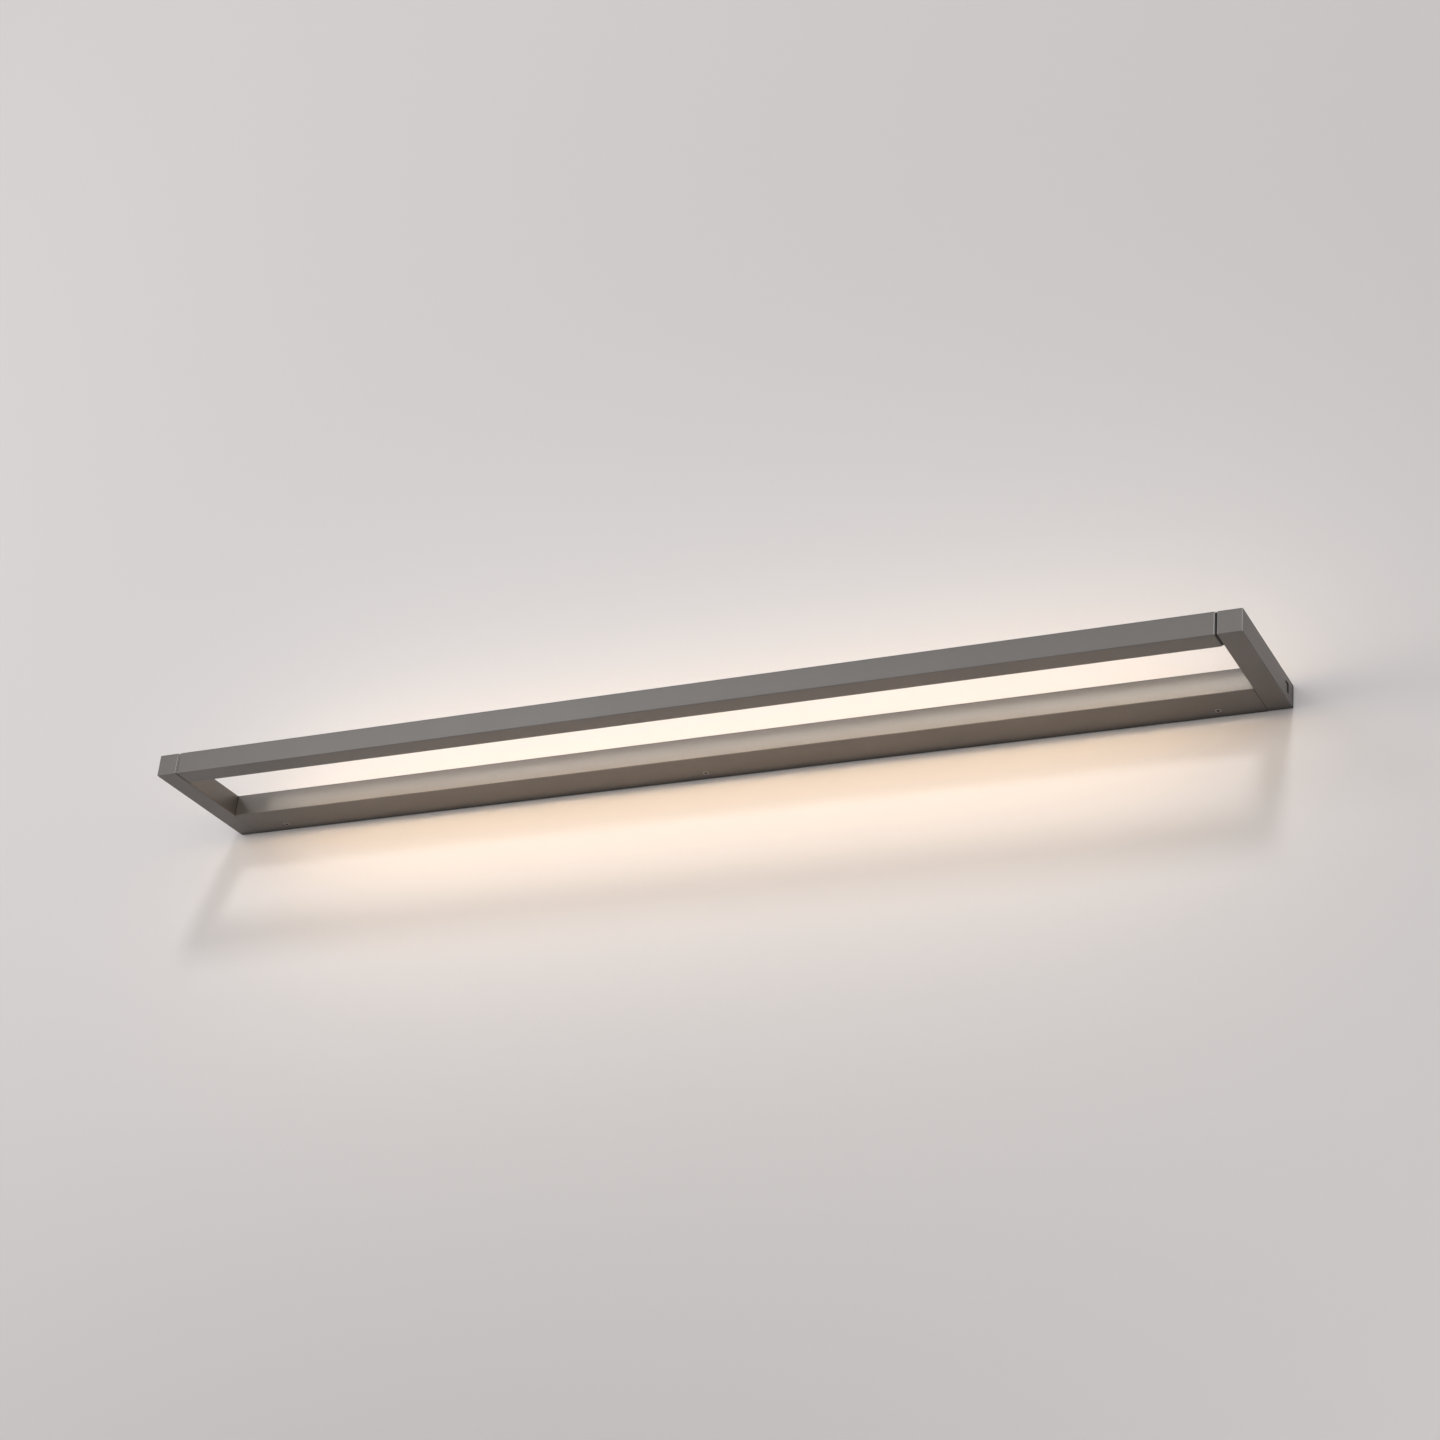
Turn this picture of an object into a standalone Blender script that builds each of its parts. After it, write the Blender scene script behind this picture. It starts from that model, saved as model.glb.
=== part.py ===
"""Wall light: a slim rectangular frame with a light bar that turns between two arms.

The light hangs on the wall plane y = 0 and stands out along -Y, with X along the wall and Z up.
The middle of the wall face is the origin. The light bar turns about an axis along X at PIVOT_Y.
All lengths are in metres.
"""
from math import asin, cos, pi, radians, sin

import bmesh
import bpy
from mathutils import Matrix, Vector

# The whole light
LENGTH = 1.200
PROJECTION = 0.160
SECTION = 0.024
BACK_DEPTH = 0.048
END_GAP = 0.0016
EDGE_RADIUS = 0.0008
BAR_END_RADIUS = 0.0015

# Clearances and cuts
FIT = 0.0003
OVERRUN = 0.002
MILLED_RELIEF = 0.00005
WELD_DISTANCE = 0.00001

# Facets
EDGE_STEPS = 3
TURN_STEPS = 24
SCREW_STEPS = 12
SHARP_ANGLE = radians(32)

# Back housing, an extrusion open to the wall
HOUSING_WALL = 0.0025
HOUSING_END_CHAMFER = 0.0005
CHANNEL_HEIGHT = 0.0045
CHANNEL_WIDTH = 0.0032
CHANNEL_RIB = 0.0016

# Wall bracket, a channel that the housing slides over; its depth is what the driver leaves free
BRACKET_END_GAP = 0.004
BRACKET_WEB = 0.002
BRACKET_FLANGE = 0.0015
TAPPED_FLANGE = 0.0025
WALL_SLOT_COUNT = 4
WALL_SLOT_INSET = 0.068
WALL_SLOT_LENGTH = 0.012
WALL_SLOT_WIDTH = 0.0052

# Cable entry
CABLE_ENTRY_X = 0.030
CABLE_HOLE_RADIUS = 0.0055
GROMMET_BORE_RADIUS = 0.0035
GROMMET_FLANGE_RADIUS = 0.0064
GROMMET_FLANGE = 0.0016

# Countersunk screws that clamp the housing on the bracket from below
HOUSING_SCREW_INSET = 0.069
MIDDLE_SCREW_X = -0.012
HOUSING_SCREW_EDGE = 0.0053
HOUSING_SCREW_RADIUS = 0.002
HOUSING_SCREW_HEAD_RADIUS = 0.004
HOUSING_SCREW_SINK = 0.0002
HOUSING_SCREW_END = 0.001
SOCKET_RADIUS = 0.00125
SOCKET_DEPTH = 0.0012

# Arms, square tubes closed at the front by the block that holds the pivot pin
ARM_WALL = 0.0025
PIVOT_BLOCK = 0.028
PASSAGE_RADIUS = 0.0024
LEAD_POCKET_END = 0.0008

# Corner blocks and the screws that hold the arms
CORNER_LENGTH = 0.024
CORNER_BACK = 0.008
FOOT_LENGTH = 0.014
FOOT_THICKNESS = 0.006
ARM_SCREW_Y = -0.0215
ARM_SCREW_RADIUS = 0.0025
ARM_SCREW_LENGTH = 0.016
ARM_SCREW_HEAD_RADIUS = 0.00425
ARM_SCREW_HEAD = 0.005
LOCATING_PIN_RADIUS = 0.0015
LOCATING_PIN_DEPTH = 0.008
LOCATING_PIN_OFFSET_Y = 0.009
LOCATING_PIN_OFFSET_Z = 0.005

# Square covers over the holes through which the arm screws are turned
COVER_HALF = 0.0049
COVER_SEAM = 0.00035
COVER_PLATE = 0.0020
COVER_LEG = 0.0012
COVER_LEG_REACH = 0.0050
COVER_BARB = 0.0008

# Screws that run into the housing's screw channel
PAN_HEAD_RADIUS = 0.0029
PAN_HEAD = 0.0022
PAN_SHANK_RADIUS = 0.0013
CHANNEL_SCREW_END = 0.0006

# Driver, which leaves a gap to the bracket and to the housing's top and bottom
GEAR_SPACE = 0.044
DRIVER_LENGTH = 0.240
DRIVER_DEPTH = 0.019
DRIVER_BRACKET_GAP = 0.0037
DRIVER_SIDE_GAP = 0.0020
TAB_LENGTH = 0.012
TAB_THICKNESS = 0.002
DRIVER_ENTRY_Z = 0.003
ENTRY_DEPTH = 0.004

# Terminal block
TERMINAL_START = 0.064
TERMINAL_LENGTH = 0.022
TERMINAL_DEPTH = 0.0135
TERMINAL_SIDE_GAP = 0.0013
TERMINAL_TAB = 0.008
TERMINAL_POLE_INSET = 0.0027
TERMINAL_SCREW_RADIUS = 0.0015
TERMINAL_SCREW = 0.0020
TERMINAL_WELL = 0.0030
TERMINAL_SCREW_INSET = 0.005

# Leads
CORE_RADIUS = 0.001
LEAD_RADIUS = 0.0014
LEAD_STEPS = 4
LEAD_SEAT_HEIGHT = 0.0047
LEAD_Z = 0.005
LEAD_BEND_RADIUS = 0.005
EARTH_TAG = 0.0008
EARTH_TAG_RADIUS = 0.0036
EARTH_TONGUE_LENGTH = 0.009
EARTH_TONGUE_HALF = 0.0016
LEAD_COLLAR_WALL = 0.0012
LEAD_COLLAR_FLANGE = 0.0011
LEAD_COLLAR_FLANGE_HEIGHT = 0.0012

# Pivot pins; distances along a pin run from the arm's inner face towards the bar
PIN_SHANK_RADIUS = 0.005
PIN_SHANK_LENGTH = 0.010
PIN_COLLAR_RADIUS = 0.0054
PIN_COLLAR_END = 0.0034
PIN_SPIGOT_RADIUS = 0.0036
PIN_SPIGOT_END = 0.0136
PIN_BORE_RADIUS = 0.0018
RING_PLACE = 0.009
RING_SECTION_RADIUS = 0.00045
RING_GROOVE_WIDTH = 0.0015
RING_GROOVE_DEPTH = 0.001
LOCK_SCREW_PLACE = 0.005
LOCK_SCREW_RADIUS = 0.0015
LOCK_SCREW_SINK = 0.001

# Stop that keeps the lead from being twisted: a lug on the left pin and a web in the left plug
STOP_RANGE = radians(160)
STOP_CLEARANCE = radians(4)
LUG_HALF_ANGLE = radians(8)
LUG_HEIGHT = 0.0015

# Bushes
BUSH_WALL = 0.0008
BUSH_FLANGE = 0.0008
BUSH_FLANGE_RADIUS = 0.0056
BUSH_LIP = 0.0004

# Bar housing, an extrusion open towards the wall
BAR_WALL = 0.002
PORT_BLOCK = 0.0051
PORT_INSET = 0.003
PORT_RADIUS = 0.00095
PORT_SLOT_HALF = 0.0004
PORT_STEPS = 10
BOARD_GROOVE_HEIGHT = 0.002
BOARD_GROOVE_DEPTH = 0.0008

# End plugs and their screws
PLUG_RECESS = 0.0003
PLUG_FLOOR = 0.0017
LEAD_EXIT_RADIUS = 0.0024
PLUG_SCREW_HEAD_RADIUS = 0.0019
PLUG_SCREW_HEAD = 0.0015
PLUG_SCREW_BITE = 0.006

# Diffuser
DIFFUSER_RECESS = 0.0003
DIFFUSER_THICKNESS = 0.002
DIFFUSER_CHAMFER = 0.0004
DIFFUSER_LEG = 0.0011
DIFFUSER_LEG_REACH = 0.0033
DIFFUSER_BARB = 0.0006
DIFFUSER_BARB_TOP = 0.0015
DIFFUSER_BARB_HEIGHT = 0.0008
SNAP_PLAY = 0.0008

# Circuit boards and light-emitting chips
BOARD_GAP = 0.0010
BOARD_END_GAP = 0.0010
BOARD_THICKNESS = 0.0014
CHIP_PITCH = 0.016
CHIP_LENGTH = 0.0035
CHIP_WIDTH = 0.0028
CHIP_HEIGHT = 0.0007
CHIP_WINDOW_INSET = 0.0004
CHIP_WINDOW_DEPTH = 0.0002
CHIP_END_MARGIN = 0.004
LINK_LENGTH = 0.010
LINK_WIDTH = 0.006
LINK_HEIGHT = 0.002

# Bends of the leads, as shares of the ways that they cross
MAINS_BEND_SHARES = (0.12, 0.50, 0.85)
EARTH_START_SHARE = 0.5
EARTH_BEND_SHARES = ((0, 0.95), (0.38, 0.45), (0.60, 0))
DRIVER_LEAD_RISE_SHARES = (0.25, 0.60)
ARM_BEND_SHARES = ((0.36, 0.013, 1.0), (0.74, 0.075, 0.9), (0.93, 0.20, 0.7), (1.0, 0.55, 0.1))
PIN_BEND_START_SHARE = 1.6
PIN_BEND_MIDDLE_SHARE = 0.3
BAR_LEAD_DIP_SHARE = 0.45
BAR_LEAD_LEAN_SHARE = 0.25
BAR_LEAD_DROP_SHARES = (0.35, 0.60)
LEAD_SPLIT_SHARE = 0.25

# Places worked out from the sizes above
HALF = LENGTH / 2
HALF_SECTION = SECTION / 2
ARM_INNER = HALF - SECTION
ARM_INSIDE = ARM_INNER + ARM_WALL
PIVOT_Y = -(PROJECTION - HALF_SECTION)
BLOCK_Y = -(PROJECTION - PIVOT_BLOCK)
BAR_HALF = ARM_INNER - END_GAP
HOUSING_INSIDE_Z = HALF_SECTION - HOUSING_WALL
HOUSING_INSIDE_Y = -(BACK_DEPTH - HOUSING_WALL)
SEAT_Y = HOUSING_INSIDE_Y + CHANNEL_HEIGHT + FIT
HOUSING_SCREW_XS = (-(HALF - HOUSING_SCREW_INSET), MIDDLE_SCREW_X, HALF - HOUSING_SCREW_INSET)
BRACKET_HALF = ARM_INNER - CORNER_LENGTH - BRACKET_END_GAP
BRACKET_HALF_HEIGHT = HOUSING_INSIDE_Z - FIT
BRACKET_DEPTH = -SEAT_Y - DRIVER_DEPTH - DRIVER_BRACKET_GAP
HOUSING_SCREW_Y = HOUSING_SCREW_EDGE - BRACKET_DEPTH
WALL_SLOT_SPACING = 2 * (BRACKET_HALF - WALL_SLOT_INSET) / (WALL_SLOT_COUNT - 1)
TERMINAL_END = TERMINAL_START + TERMINAL_LENGTH
GEAR_GAP_START = TERMINAL_END + TERMINAL_TAB
DRIVER_START = GEAR_GAP_START + GEAR_SPACE + TAB_LENGTH
DRIVER_END = DRIVER_START + DRIVER_LENGTH
DRIVER_HALF_HEIGHT = HOUSING_INSIDE_Z - DRIVER_SIDE_GAP
DRIVER_LEAD_HEIGHT = DRIVER_DEPTH / 2
TERMINAL_HALF_HEIGHT = HOUSING_INSIDE_Z - TERMINAL_SIDE_GAP
TERMINAL_PITCH = TERMINAL_HALF_HEIGHT - TERMINAL_POLE_INSET
TERMINAL_WIRE_HEIGHT = TERMINAL_DEPTH / 2
EARTH_SCREW_X = GEAR_GAP_START + GEAR_SPACE / 2
LEAD_HOLE_RADIUS = LEAD_RADIUS + 2 * FIT
LEAD_Y = SEAT_Y + LEAD_SEAT_HEIGHT
FOOT_TOP = LEAD_Z - LEAD_HOLE_RADIUS
PASSAGE_DEPTH = PIN_SHANK_LENGTH + LEAD_BEND_RADIUS
LEAD_POCKET_DEPTH = PASSAGE_DEPTH + PASSAGE_RADIUS + LEAD_POCKET_END
LEAD_SPLIT = PIN_COLLAR_END + (PIN_SPIGOT_END - PIN_COLLAR_END) * LEAD_SPLIT_SHARE
WEB_HALF_ANGLE = pi - STOP_RANGE - STOP_CLEARANCE - LUG_HALF_ANGLE
BUSH_BORE_RADIUS = PIN_SPIGOT_RADIUS + FIT
BUSH_RADIUS = BUSH_BORE_RADIUS + BUSH_WALL
BUSH_END = PIN_SPIGOT_END + BUSH_LIP
PLUG_SEAT_DEPTH = PIN_COLLAR_END + BUSH_FLANGE + 2 * FIT - END_GAP
PLUG_BORE_END = BUSH_END + FIT - END_GAP
PLUG_LENGTH = PLUG_BORE_END + PLUG_FLOOR
BAR_INSIDE = HALF_SECTION - BAR_WALL
PORT_PLACE = BAR_INSIDE - PORT_INSET
BAR_FLOOR = -BAR_INSIDE
DIFFUSER_BOTTOM = HALF_SECTION - DIFFUSER_RECESS - DIFFUSER_THICKNESS
SNAP_TOP = DIFFUSER_BOTTOM - DIFFUSER_BARB_TOP + FIT
SNAP_HEIGHT = DIFFUSER_BARB_HEIGHT + SNAP_PLAY
BOARD_TOP = BAR_FLOOR + FIT + BOARD_THICKNESS
BOARD_END = BAR_HALF - PLUG_LENGTH - BOARD_END_GAP
SIDES = ((-1, "left"), (1, "right"))
X_AXIS = Vector((1, 0, 0))
Y_AXIS = Vector((0, 1, 0))
Z_AXIS = Vector((0, 0, 1))


# Shapes

def block(low, high):
    """A box between two corners, given in any order."""
    shape = bmesh.new()
    bmesh.ops.create_cube(shape, size=1)
    low, high = Vector(low), Vector(high)
    size = [abs(high[i] - low[i]) for i in range(3)]
    bmesh.ops.scale(shape, vec=size, verts=shape.verts)
    bmesh.ops.translate(shape, vec=(low + high) / 2, verts=shape.verts)
    return shape


def prism(outline, start, end, axis):
    """An outline extruded along X, Y or Z; its points are in the other two axes, in order."""
    shape = bmesh.new()
    along = "XYZ".index(axis)
    others = [i for i in range(3) if i != along]
    corners = []
    for first, second in outline:
        place = [0, 0, 0]
        place[along] = start
        place[others[0]] = first
        place[others[1]] = second
        corners.append(shape.verts.new(place))
    face = shape.faces.new(corners)
    grown = bmesh.ops.extrude_face_region(shape, geom=[face])
    moved = [item for item in grown["geom"] if isinstance(item, bmesh.types.BMVert)]
    step = [0, 0, 0]
    step[along] = end - start
    bmesh.ops.translate(shape, vec=step, verts=moved)
    bmesh.ops.recalc_face_normals(shape, faces=shape.faces)
    return shape


def turned(profile, centre, axis, steps=TURN_STEPS, hollow=False, angle=2 * pi, start_angle=0):
    """A profile of (distance along the axis, radius) points, spun round the axis.

    A solid profile runs from the axis and back to it, and a hollow one is a closed ring.
    A part turn is closed by its own two end faces, so its profile is a closed ring as well.
    """
    shape = bmesh.new()
    axis, centre = Vector(axis), Vector(centre)
    across = Z_AXIS if axis.z == 0 else X_AXIS
    across = Matrix.Rotation(start_angle, 3, axis) @ across
    points = [shape.verts.new(centre + axis * along + across * radius) for along, radius in profile]
    edges = [shape.edges.new(pair) for pair in zip(points, points[1:])]
    whole = angle >= 2 * pi
    if hollow:
        edges.append(shape.edges.new((points[-1], points[0])))
    geometry = points + edges
    if not whole:
        geometry.append(shape.faces.new(points))
    spun = bmesh.ops.spin(
        shape, geom=geometry, cent=centre, axis=axis, angle=angle, steps=steps, use_duplicate=False
    )
    if whole:
        bmesh.ops.remove_doubles(shape, verts=shape.verts, dist=WELD_DISTANCE)
    bmesh.ops.recalc_face_normals(shape, faces=shape.faces)
    return shape


def rod(start, end, radius, centre, axis, steps=SCREW_STEPS):
    """A plain round rod between two distances along an axis."""
    return turned([(start, 0), (start, radius), (end, radius), (end, 0)], centre, axis, steps)


def together(shapes):
    """Several shapes in one mesh, each still a solid of its own."""
    joined = bmesh.new()
    for shape in shapes:
        holder = bpy.data.meshes.new("holder")
        shape.to_mesh(holder)
        shape.free()
        joined.from_mesh(holder)
        bpy.data.meshes.remove(holder)
    return joined


def arc(centre, radius, start, end, steps):
    """Points on an arc, from one angle to another."""
    angles = [start + (end - start) * i / steps for i in range(steps + 1)]
    return [(centre[0] + radius * cos(a), centre[1] + radius * sin(a)) for a in angles]


def mirrored(half):
    """An outline given for positive z only, completed with its mirror image."""
    return half + [(first, -second) for first, second in reversed(half) if second != 0]


# Objects and finishes

def finish(name, colour, roughness, metallic=0.0, **extra):
    """A plain finish with a colour, a roughness and a metallic value."""
    material = bpy.data.materials.new(name)
    material.use_nodes = True
    shader = material.node_tree.nodes["Principled BSDF"]
    shader.inputs["Base Color"].default_value = (*colour, 1)
    shader.inputs["Roughness"].default_value = roughness
    shader.inputs["Metallic"].default_value = metallic
    for socket, value in extra.items():
        shader.inputs[socket.replace("_", " ")].default_value = value
    return material


def made(name, shape, material, parent=None):
    """Puts a shape in the scene under its name, shaded smooth with sharp edges kept."""
    mesh = bpy.data.meshes.new(name)
    shape.to_mesh(mesh)
    shape.free()
    mesh.materials.append(material)
    mesh.shade_smooth()
    mesh.set_sharp_from_angle(angle=SHARP_ANGLE)
    item = bpy.data.objects.new(name, mesh)
    bpy.context.collection.objects.link(item)
    item.parent = parent
    return item


def rounded(item, long_radius, end_radius):
    """Rounds a bar's edges: those along its length by one radius, those of its ends by another."""
    mesh = item.data
    longest = max(item.dimensions)
    weights = mesh.attributes.new("bevel_weight_edge", "FLOAT", "EDGE")
    for edge in mesh.edges:
        a, b = (mesh.vertices[i].co for i in edge.vertices)
        along = (a - b).length > longest / 2
        weights.data[edge.index].value = (long_radius if along else end_radius) / end_radius
    modifier = item.modifiers.new("rounding", "BEVEL")
    modifier.limit_method = "WEIGHT"
    modifier.width = end_radius
    modifier.segments = EDGE_STEPS


def combine(item, shape, operation):
    """Cuts a shape out of an item or joins it on, with a Boolean and a hidden helper."""
    name = f"{item.name}_helper_{len(item.modifiers) + 1}"
    helper = made(name, shape, item.data.materials[0], item.parent)
    helper.hide_render = True
    helper.display_type = "WIRE"
    modifier = item.modifiers.new(operation.lower(), "BOOLEAN")
    modifier.operation = operation
    modifier.solver = "EXACT"
    modifier.object = helper


def cut(item, *shapes):
    """Cuts shapes out of an item, each with a Boolean of its own."""
    for shape in shapes:
        combine(item, shape, "DIFFERENCE")


def join(item, shape):
    """Joins a shape, or several apart from each other, on to an item."""
    combine(item, shape, "UNION")


def smooth_route(route):
    """Points on a smooth curve that passes through every point of a route."""
    route = [Vector(point) for point in route]
    padded = [2 * route[0] - route[1], *route, 2 * route[-1] - route[-2]]
    points = []
    for before, start, end, after in zip(padded, padded[1:], padded[2:], padded[3:]):
        for step in range(LEAD_STEPS):
            t = step / LEAD_STEPS
            points.append(
                (
                    2 * start
                    + (end - before) * t
                    + (2 * before - 5 * start + 4 * end - after) * t**2
                    + (3 * start - before - 3 * end + after) * t**3
                )
                / 2
            )
    return points + [route[-1]]


def lead(name, route, radius, material, parent=None):
    """A round lead along a smooth route, closed at both ends."""
    points = smooth_route(route)
    curve = bpy.data.curves.new(name, "CURVE")
    curve.dimensions = "3D"
    curve.bevel_depth = radius
    curve.bevel_resolution = 2
    curve.use_fill_caps = True
    spline = curve.splines.new("POLY")
    spline.points.add(len(points) - 1)
    for target, point in zip(spline.points, points):
        target.co = (*point, 1)
    curve.materials.append(material)
    item = bpy.data.objects.new(name, curve)
    bpy.context.collection.objects.link(item)
    item.parent = parent
    return item


# Fasteners

def countersunk_profile(growth=0):
    """A countersunk screw from below, or its hole when the profile is grown by a clearance."""
    sink = HOUSING_SCREW_SINK
    cone = HOUSING_SCREW_HEAD_RADIUS - HOUSING_SCREW_RADIUS
    return [(sink, HOUSING_SCREW_HEAD_RADIUS + growth), (sink + cone, HOUSING_SCREW_RADIUS + growth)]


def housing_screw(x):
    """One countersunk socket screw, with its head near the underside of the housing."""
    cone = countersunk_profile()
    sink = cone[0][0]
    end = HOUSING_WALL + FIT + TAPPED_FLANGE + HOUSING_SCREW_END
    profile = [
        (sink + SOCKET_DEPTH, 0),
        (sink + SOCKET_DEPTH, SOCKET_RADIUS),
        (sink, SOCKET_RADIUS),
        *cone,
        (end, HOUSING_SCREW_RADIUS),
        (end, 0),
    ]
    return turned(profile, (x, HOUSING_SCREW_Y, -HALF_SECTION), Z_AXIS, SCREW_STEPS)


def housing_screw_hole(x):
    """The countersunk hole that such a screw goes through."""
    cone = countersunk_profile(FIT)
    profile = [
        (-OVERRUN, 0),
        (-OVERRUN, cone[0][1]),
        *cone,
        (HOUSING_WALL + OVERRUN, cone[1][1]),
        (HOUSING_WALL + OVERRUN, 0),
    ]
    return turned(profile, (x, HOUSING_SCREW_Y, -HALF_SECTION), Z_AXIS, SCREW_STEPS)


def channel_screw(x, head_y):
    """A pan head screw that runs into the housing's screw channel, with its head at head_y."""
    tip = HOUSING_INSIDE_Y + CHANNEL_SCREW_END - head_y
    profile = [
        (tip, 0),
        (tip, PAN_SHANK_RADIUS),
        (FIT, PAN_SHANK_RADIUS),
        (FIT, PAN_HEAD_RADIUS),
        (FIT + PAN_HEAD, PAN_HEAD_RADIUS),
        (FIT + PAN_HEAD, 0),
    ]
    return turned(profile, (x, head_y, 0), Y_AXIS, SCREW_STEPS)


def channel_screw_hole(x, low_y, high_y):
    """The clearance hole for such a screw, through a tab."""
    radius = PAN_SHANK_RADIUS + FIT
    return rod(low_y - OVERRUN, high_y + OVERRUN, radius, (x, 0, 0), Y_AXIS)


# Wall side: bracket, cable entry and the screws from below

def make_wall_bracket(metal):
    height = BRACKET_HALF_HEIGHT
    outline = [
        (0, -height),
        (0, height),
        (-BRACKET_DEPTH, height),
        (-BRACKET_DEPTH, height - BRACKET_FLANGE),
        (-BRACKET_WEB, height - BRACKET_FLANGE),
        (-BRACKET_WEB, -height + TAPPED_FLANGE),
        (-BRACKET_DEPTH, -height + TAPPED_FLANGE),
        (-BRACKET_DEPTH, -height),
    ]
    bracket = made("wall_bracket", prism(outline, -BRACKET_HALF, BRACKET_HALF, "X"), metal)
    slots = []
    end_radius = WALL_SLOT_WIDTH / 2
    straight = WALL_SLOT_LENGTH / 2 - end_radius
    for count in range(WALL_SLOT_COUNT):
        x = (count - (WALL_SLOT_COUNT - 1) / 2) * WALL_SLOT_SPACING
        rim = arc((x + straight, 0), end_radius, -pi / 2, pi / 2, EDGE_STEPS * 2)
        rim += arc((x - straight, 0), end_radius, pi / 2, pi * 3 / 2, EDGE_STEPS * 2)
        slots.append(prism(rim, -BRACKET_WEB - OVERRUN, OVERRUN, "Y"))
    entry = rod(
        -BRACKET_WEB - OVERRUN, OVERRUN, CABLE_HOLE_RADIUS, (CABLE_ENTRY_X, 0, 0), Y_AXIS, TURN_STEPS
    )
    tapped = [
        rod(
            -height - OVERRUN,
            -height + TAPPED_FLANGE + OVERRUN,
            HOUSING_SCREW_RADIUS + FIT,
            (x, HOUSING_SCREW_Y, 0),
            Z_AXIS,
        )
        for x in HOUSING_SCREW_XS
    ]
    cut(bracket, together([*slots, entry, *tapped]))


def make_cable_grommet(rubber):
    neck = CABLE_HOLE_RADIUS - FIT
    profile = [
        (-FIT, GROMMET_BORE_RADIUS),
        (-FIT, neck),
        (-BRACKET_WEB - FIT, neck),
        (-BRACKET_WEB - FIT, GROMMET_FLANGE_RADIUS),
        (-BRACKET_WEB - FIT - GROMMET_FLANGE, GROMMET_FLANGE_RADIUS),
        (-BRACKET_WEB - FIT - GROMMET_FLANGE, GROMMET_BORE_RADIUS),
    ]
    shape = turned(profile, (CABLE_ENTRY_X, 0, 0), Y_AXIS, hollow=True)
    made("cable_grommet", shape, rubber)


def housing_end_chamfer(side):
    """What breaks the upright edge where the housing's front meets an arm."""
    end = side * (ARM_INNER - FIT)
    reach = HOUSING_END_CHAMFER + OVERRUN
    outline = [
        (end - side * reach, -BACK_DEPTH - OVERRUN),
        (end + side * OVERRUN, -BACK_DEPTH + reach),
        (end + side * OVERRUN, -BACK_DEPTH - OVERRUN),
    ]
    return prism(outline, -HALF_SECTION - OVERRUN, HALF_SECTION + OVERRUN, "Z")


def make_back_housing(paint):
    inside_z = HOUSING_INSIDE_Z
    inside_y = HOUSING_INSIDE_Y
    tip = inside_y + CHANNEL_HEIGHT
    near = CHANNEL_WIDTH / 2
    far = near + CHANNEL_RIB
    corner = (-BACK_DEPTH + EDGE_RADIUS, HALF_SECTION - EDGE_RADIUS)
    half = [
        *reversed(arc(corner, EDGE_RADIUS, pi / 2, pi, EDGE_STEPS)),
        (-FIT, HALF_SECTION),
        (-FIT, inside_z),
        (inside_y, inside_z),
        (inside_y, far),
        (tip, far),
        (tip, near),
        (inside_y, near),
    ]
    half_length = ARM_INNER - FIT
    housing = made("back_housing", prism(mirrored(half), -half_length, half_length, "X"), paint)
    chamfers = [housing_end_chamfer(side) for side, _ in SIDES]
    cut(housing, together([housing_screw_hole(x) for x in HOUSING_SCREW_XS] + chamfers))


def make_housing_screws(paint):
    for place, x in zip(("left", "middle", "right"), HOUSING_SCREW_XS):
        made(f"{place}_housing_screw", housing_screw(x), paint)


# Arms, corner blocks, covers and their fasteners

def locating_pin_places():
    """The two pins beside each arm screw, as (y, z)."""
    return [
        (ARM_SCREW_Y + sign * LOCATING_PIN_OFFSET_Y, sign * LOCATING_PIN_OFFSET_Z) for sign in (-1, 1)
    ]


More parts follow.
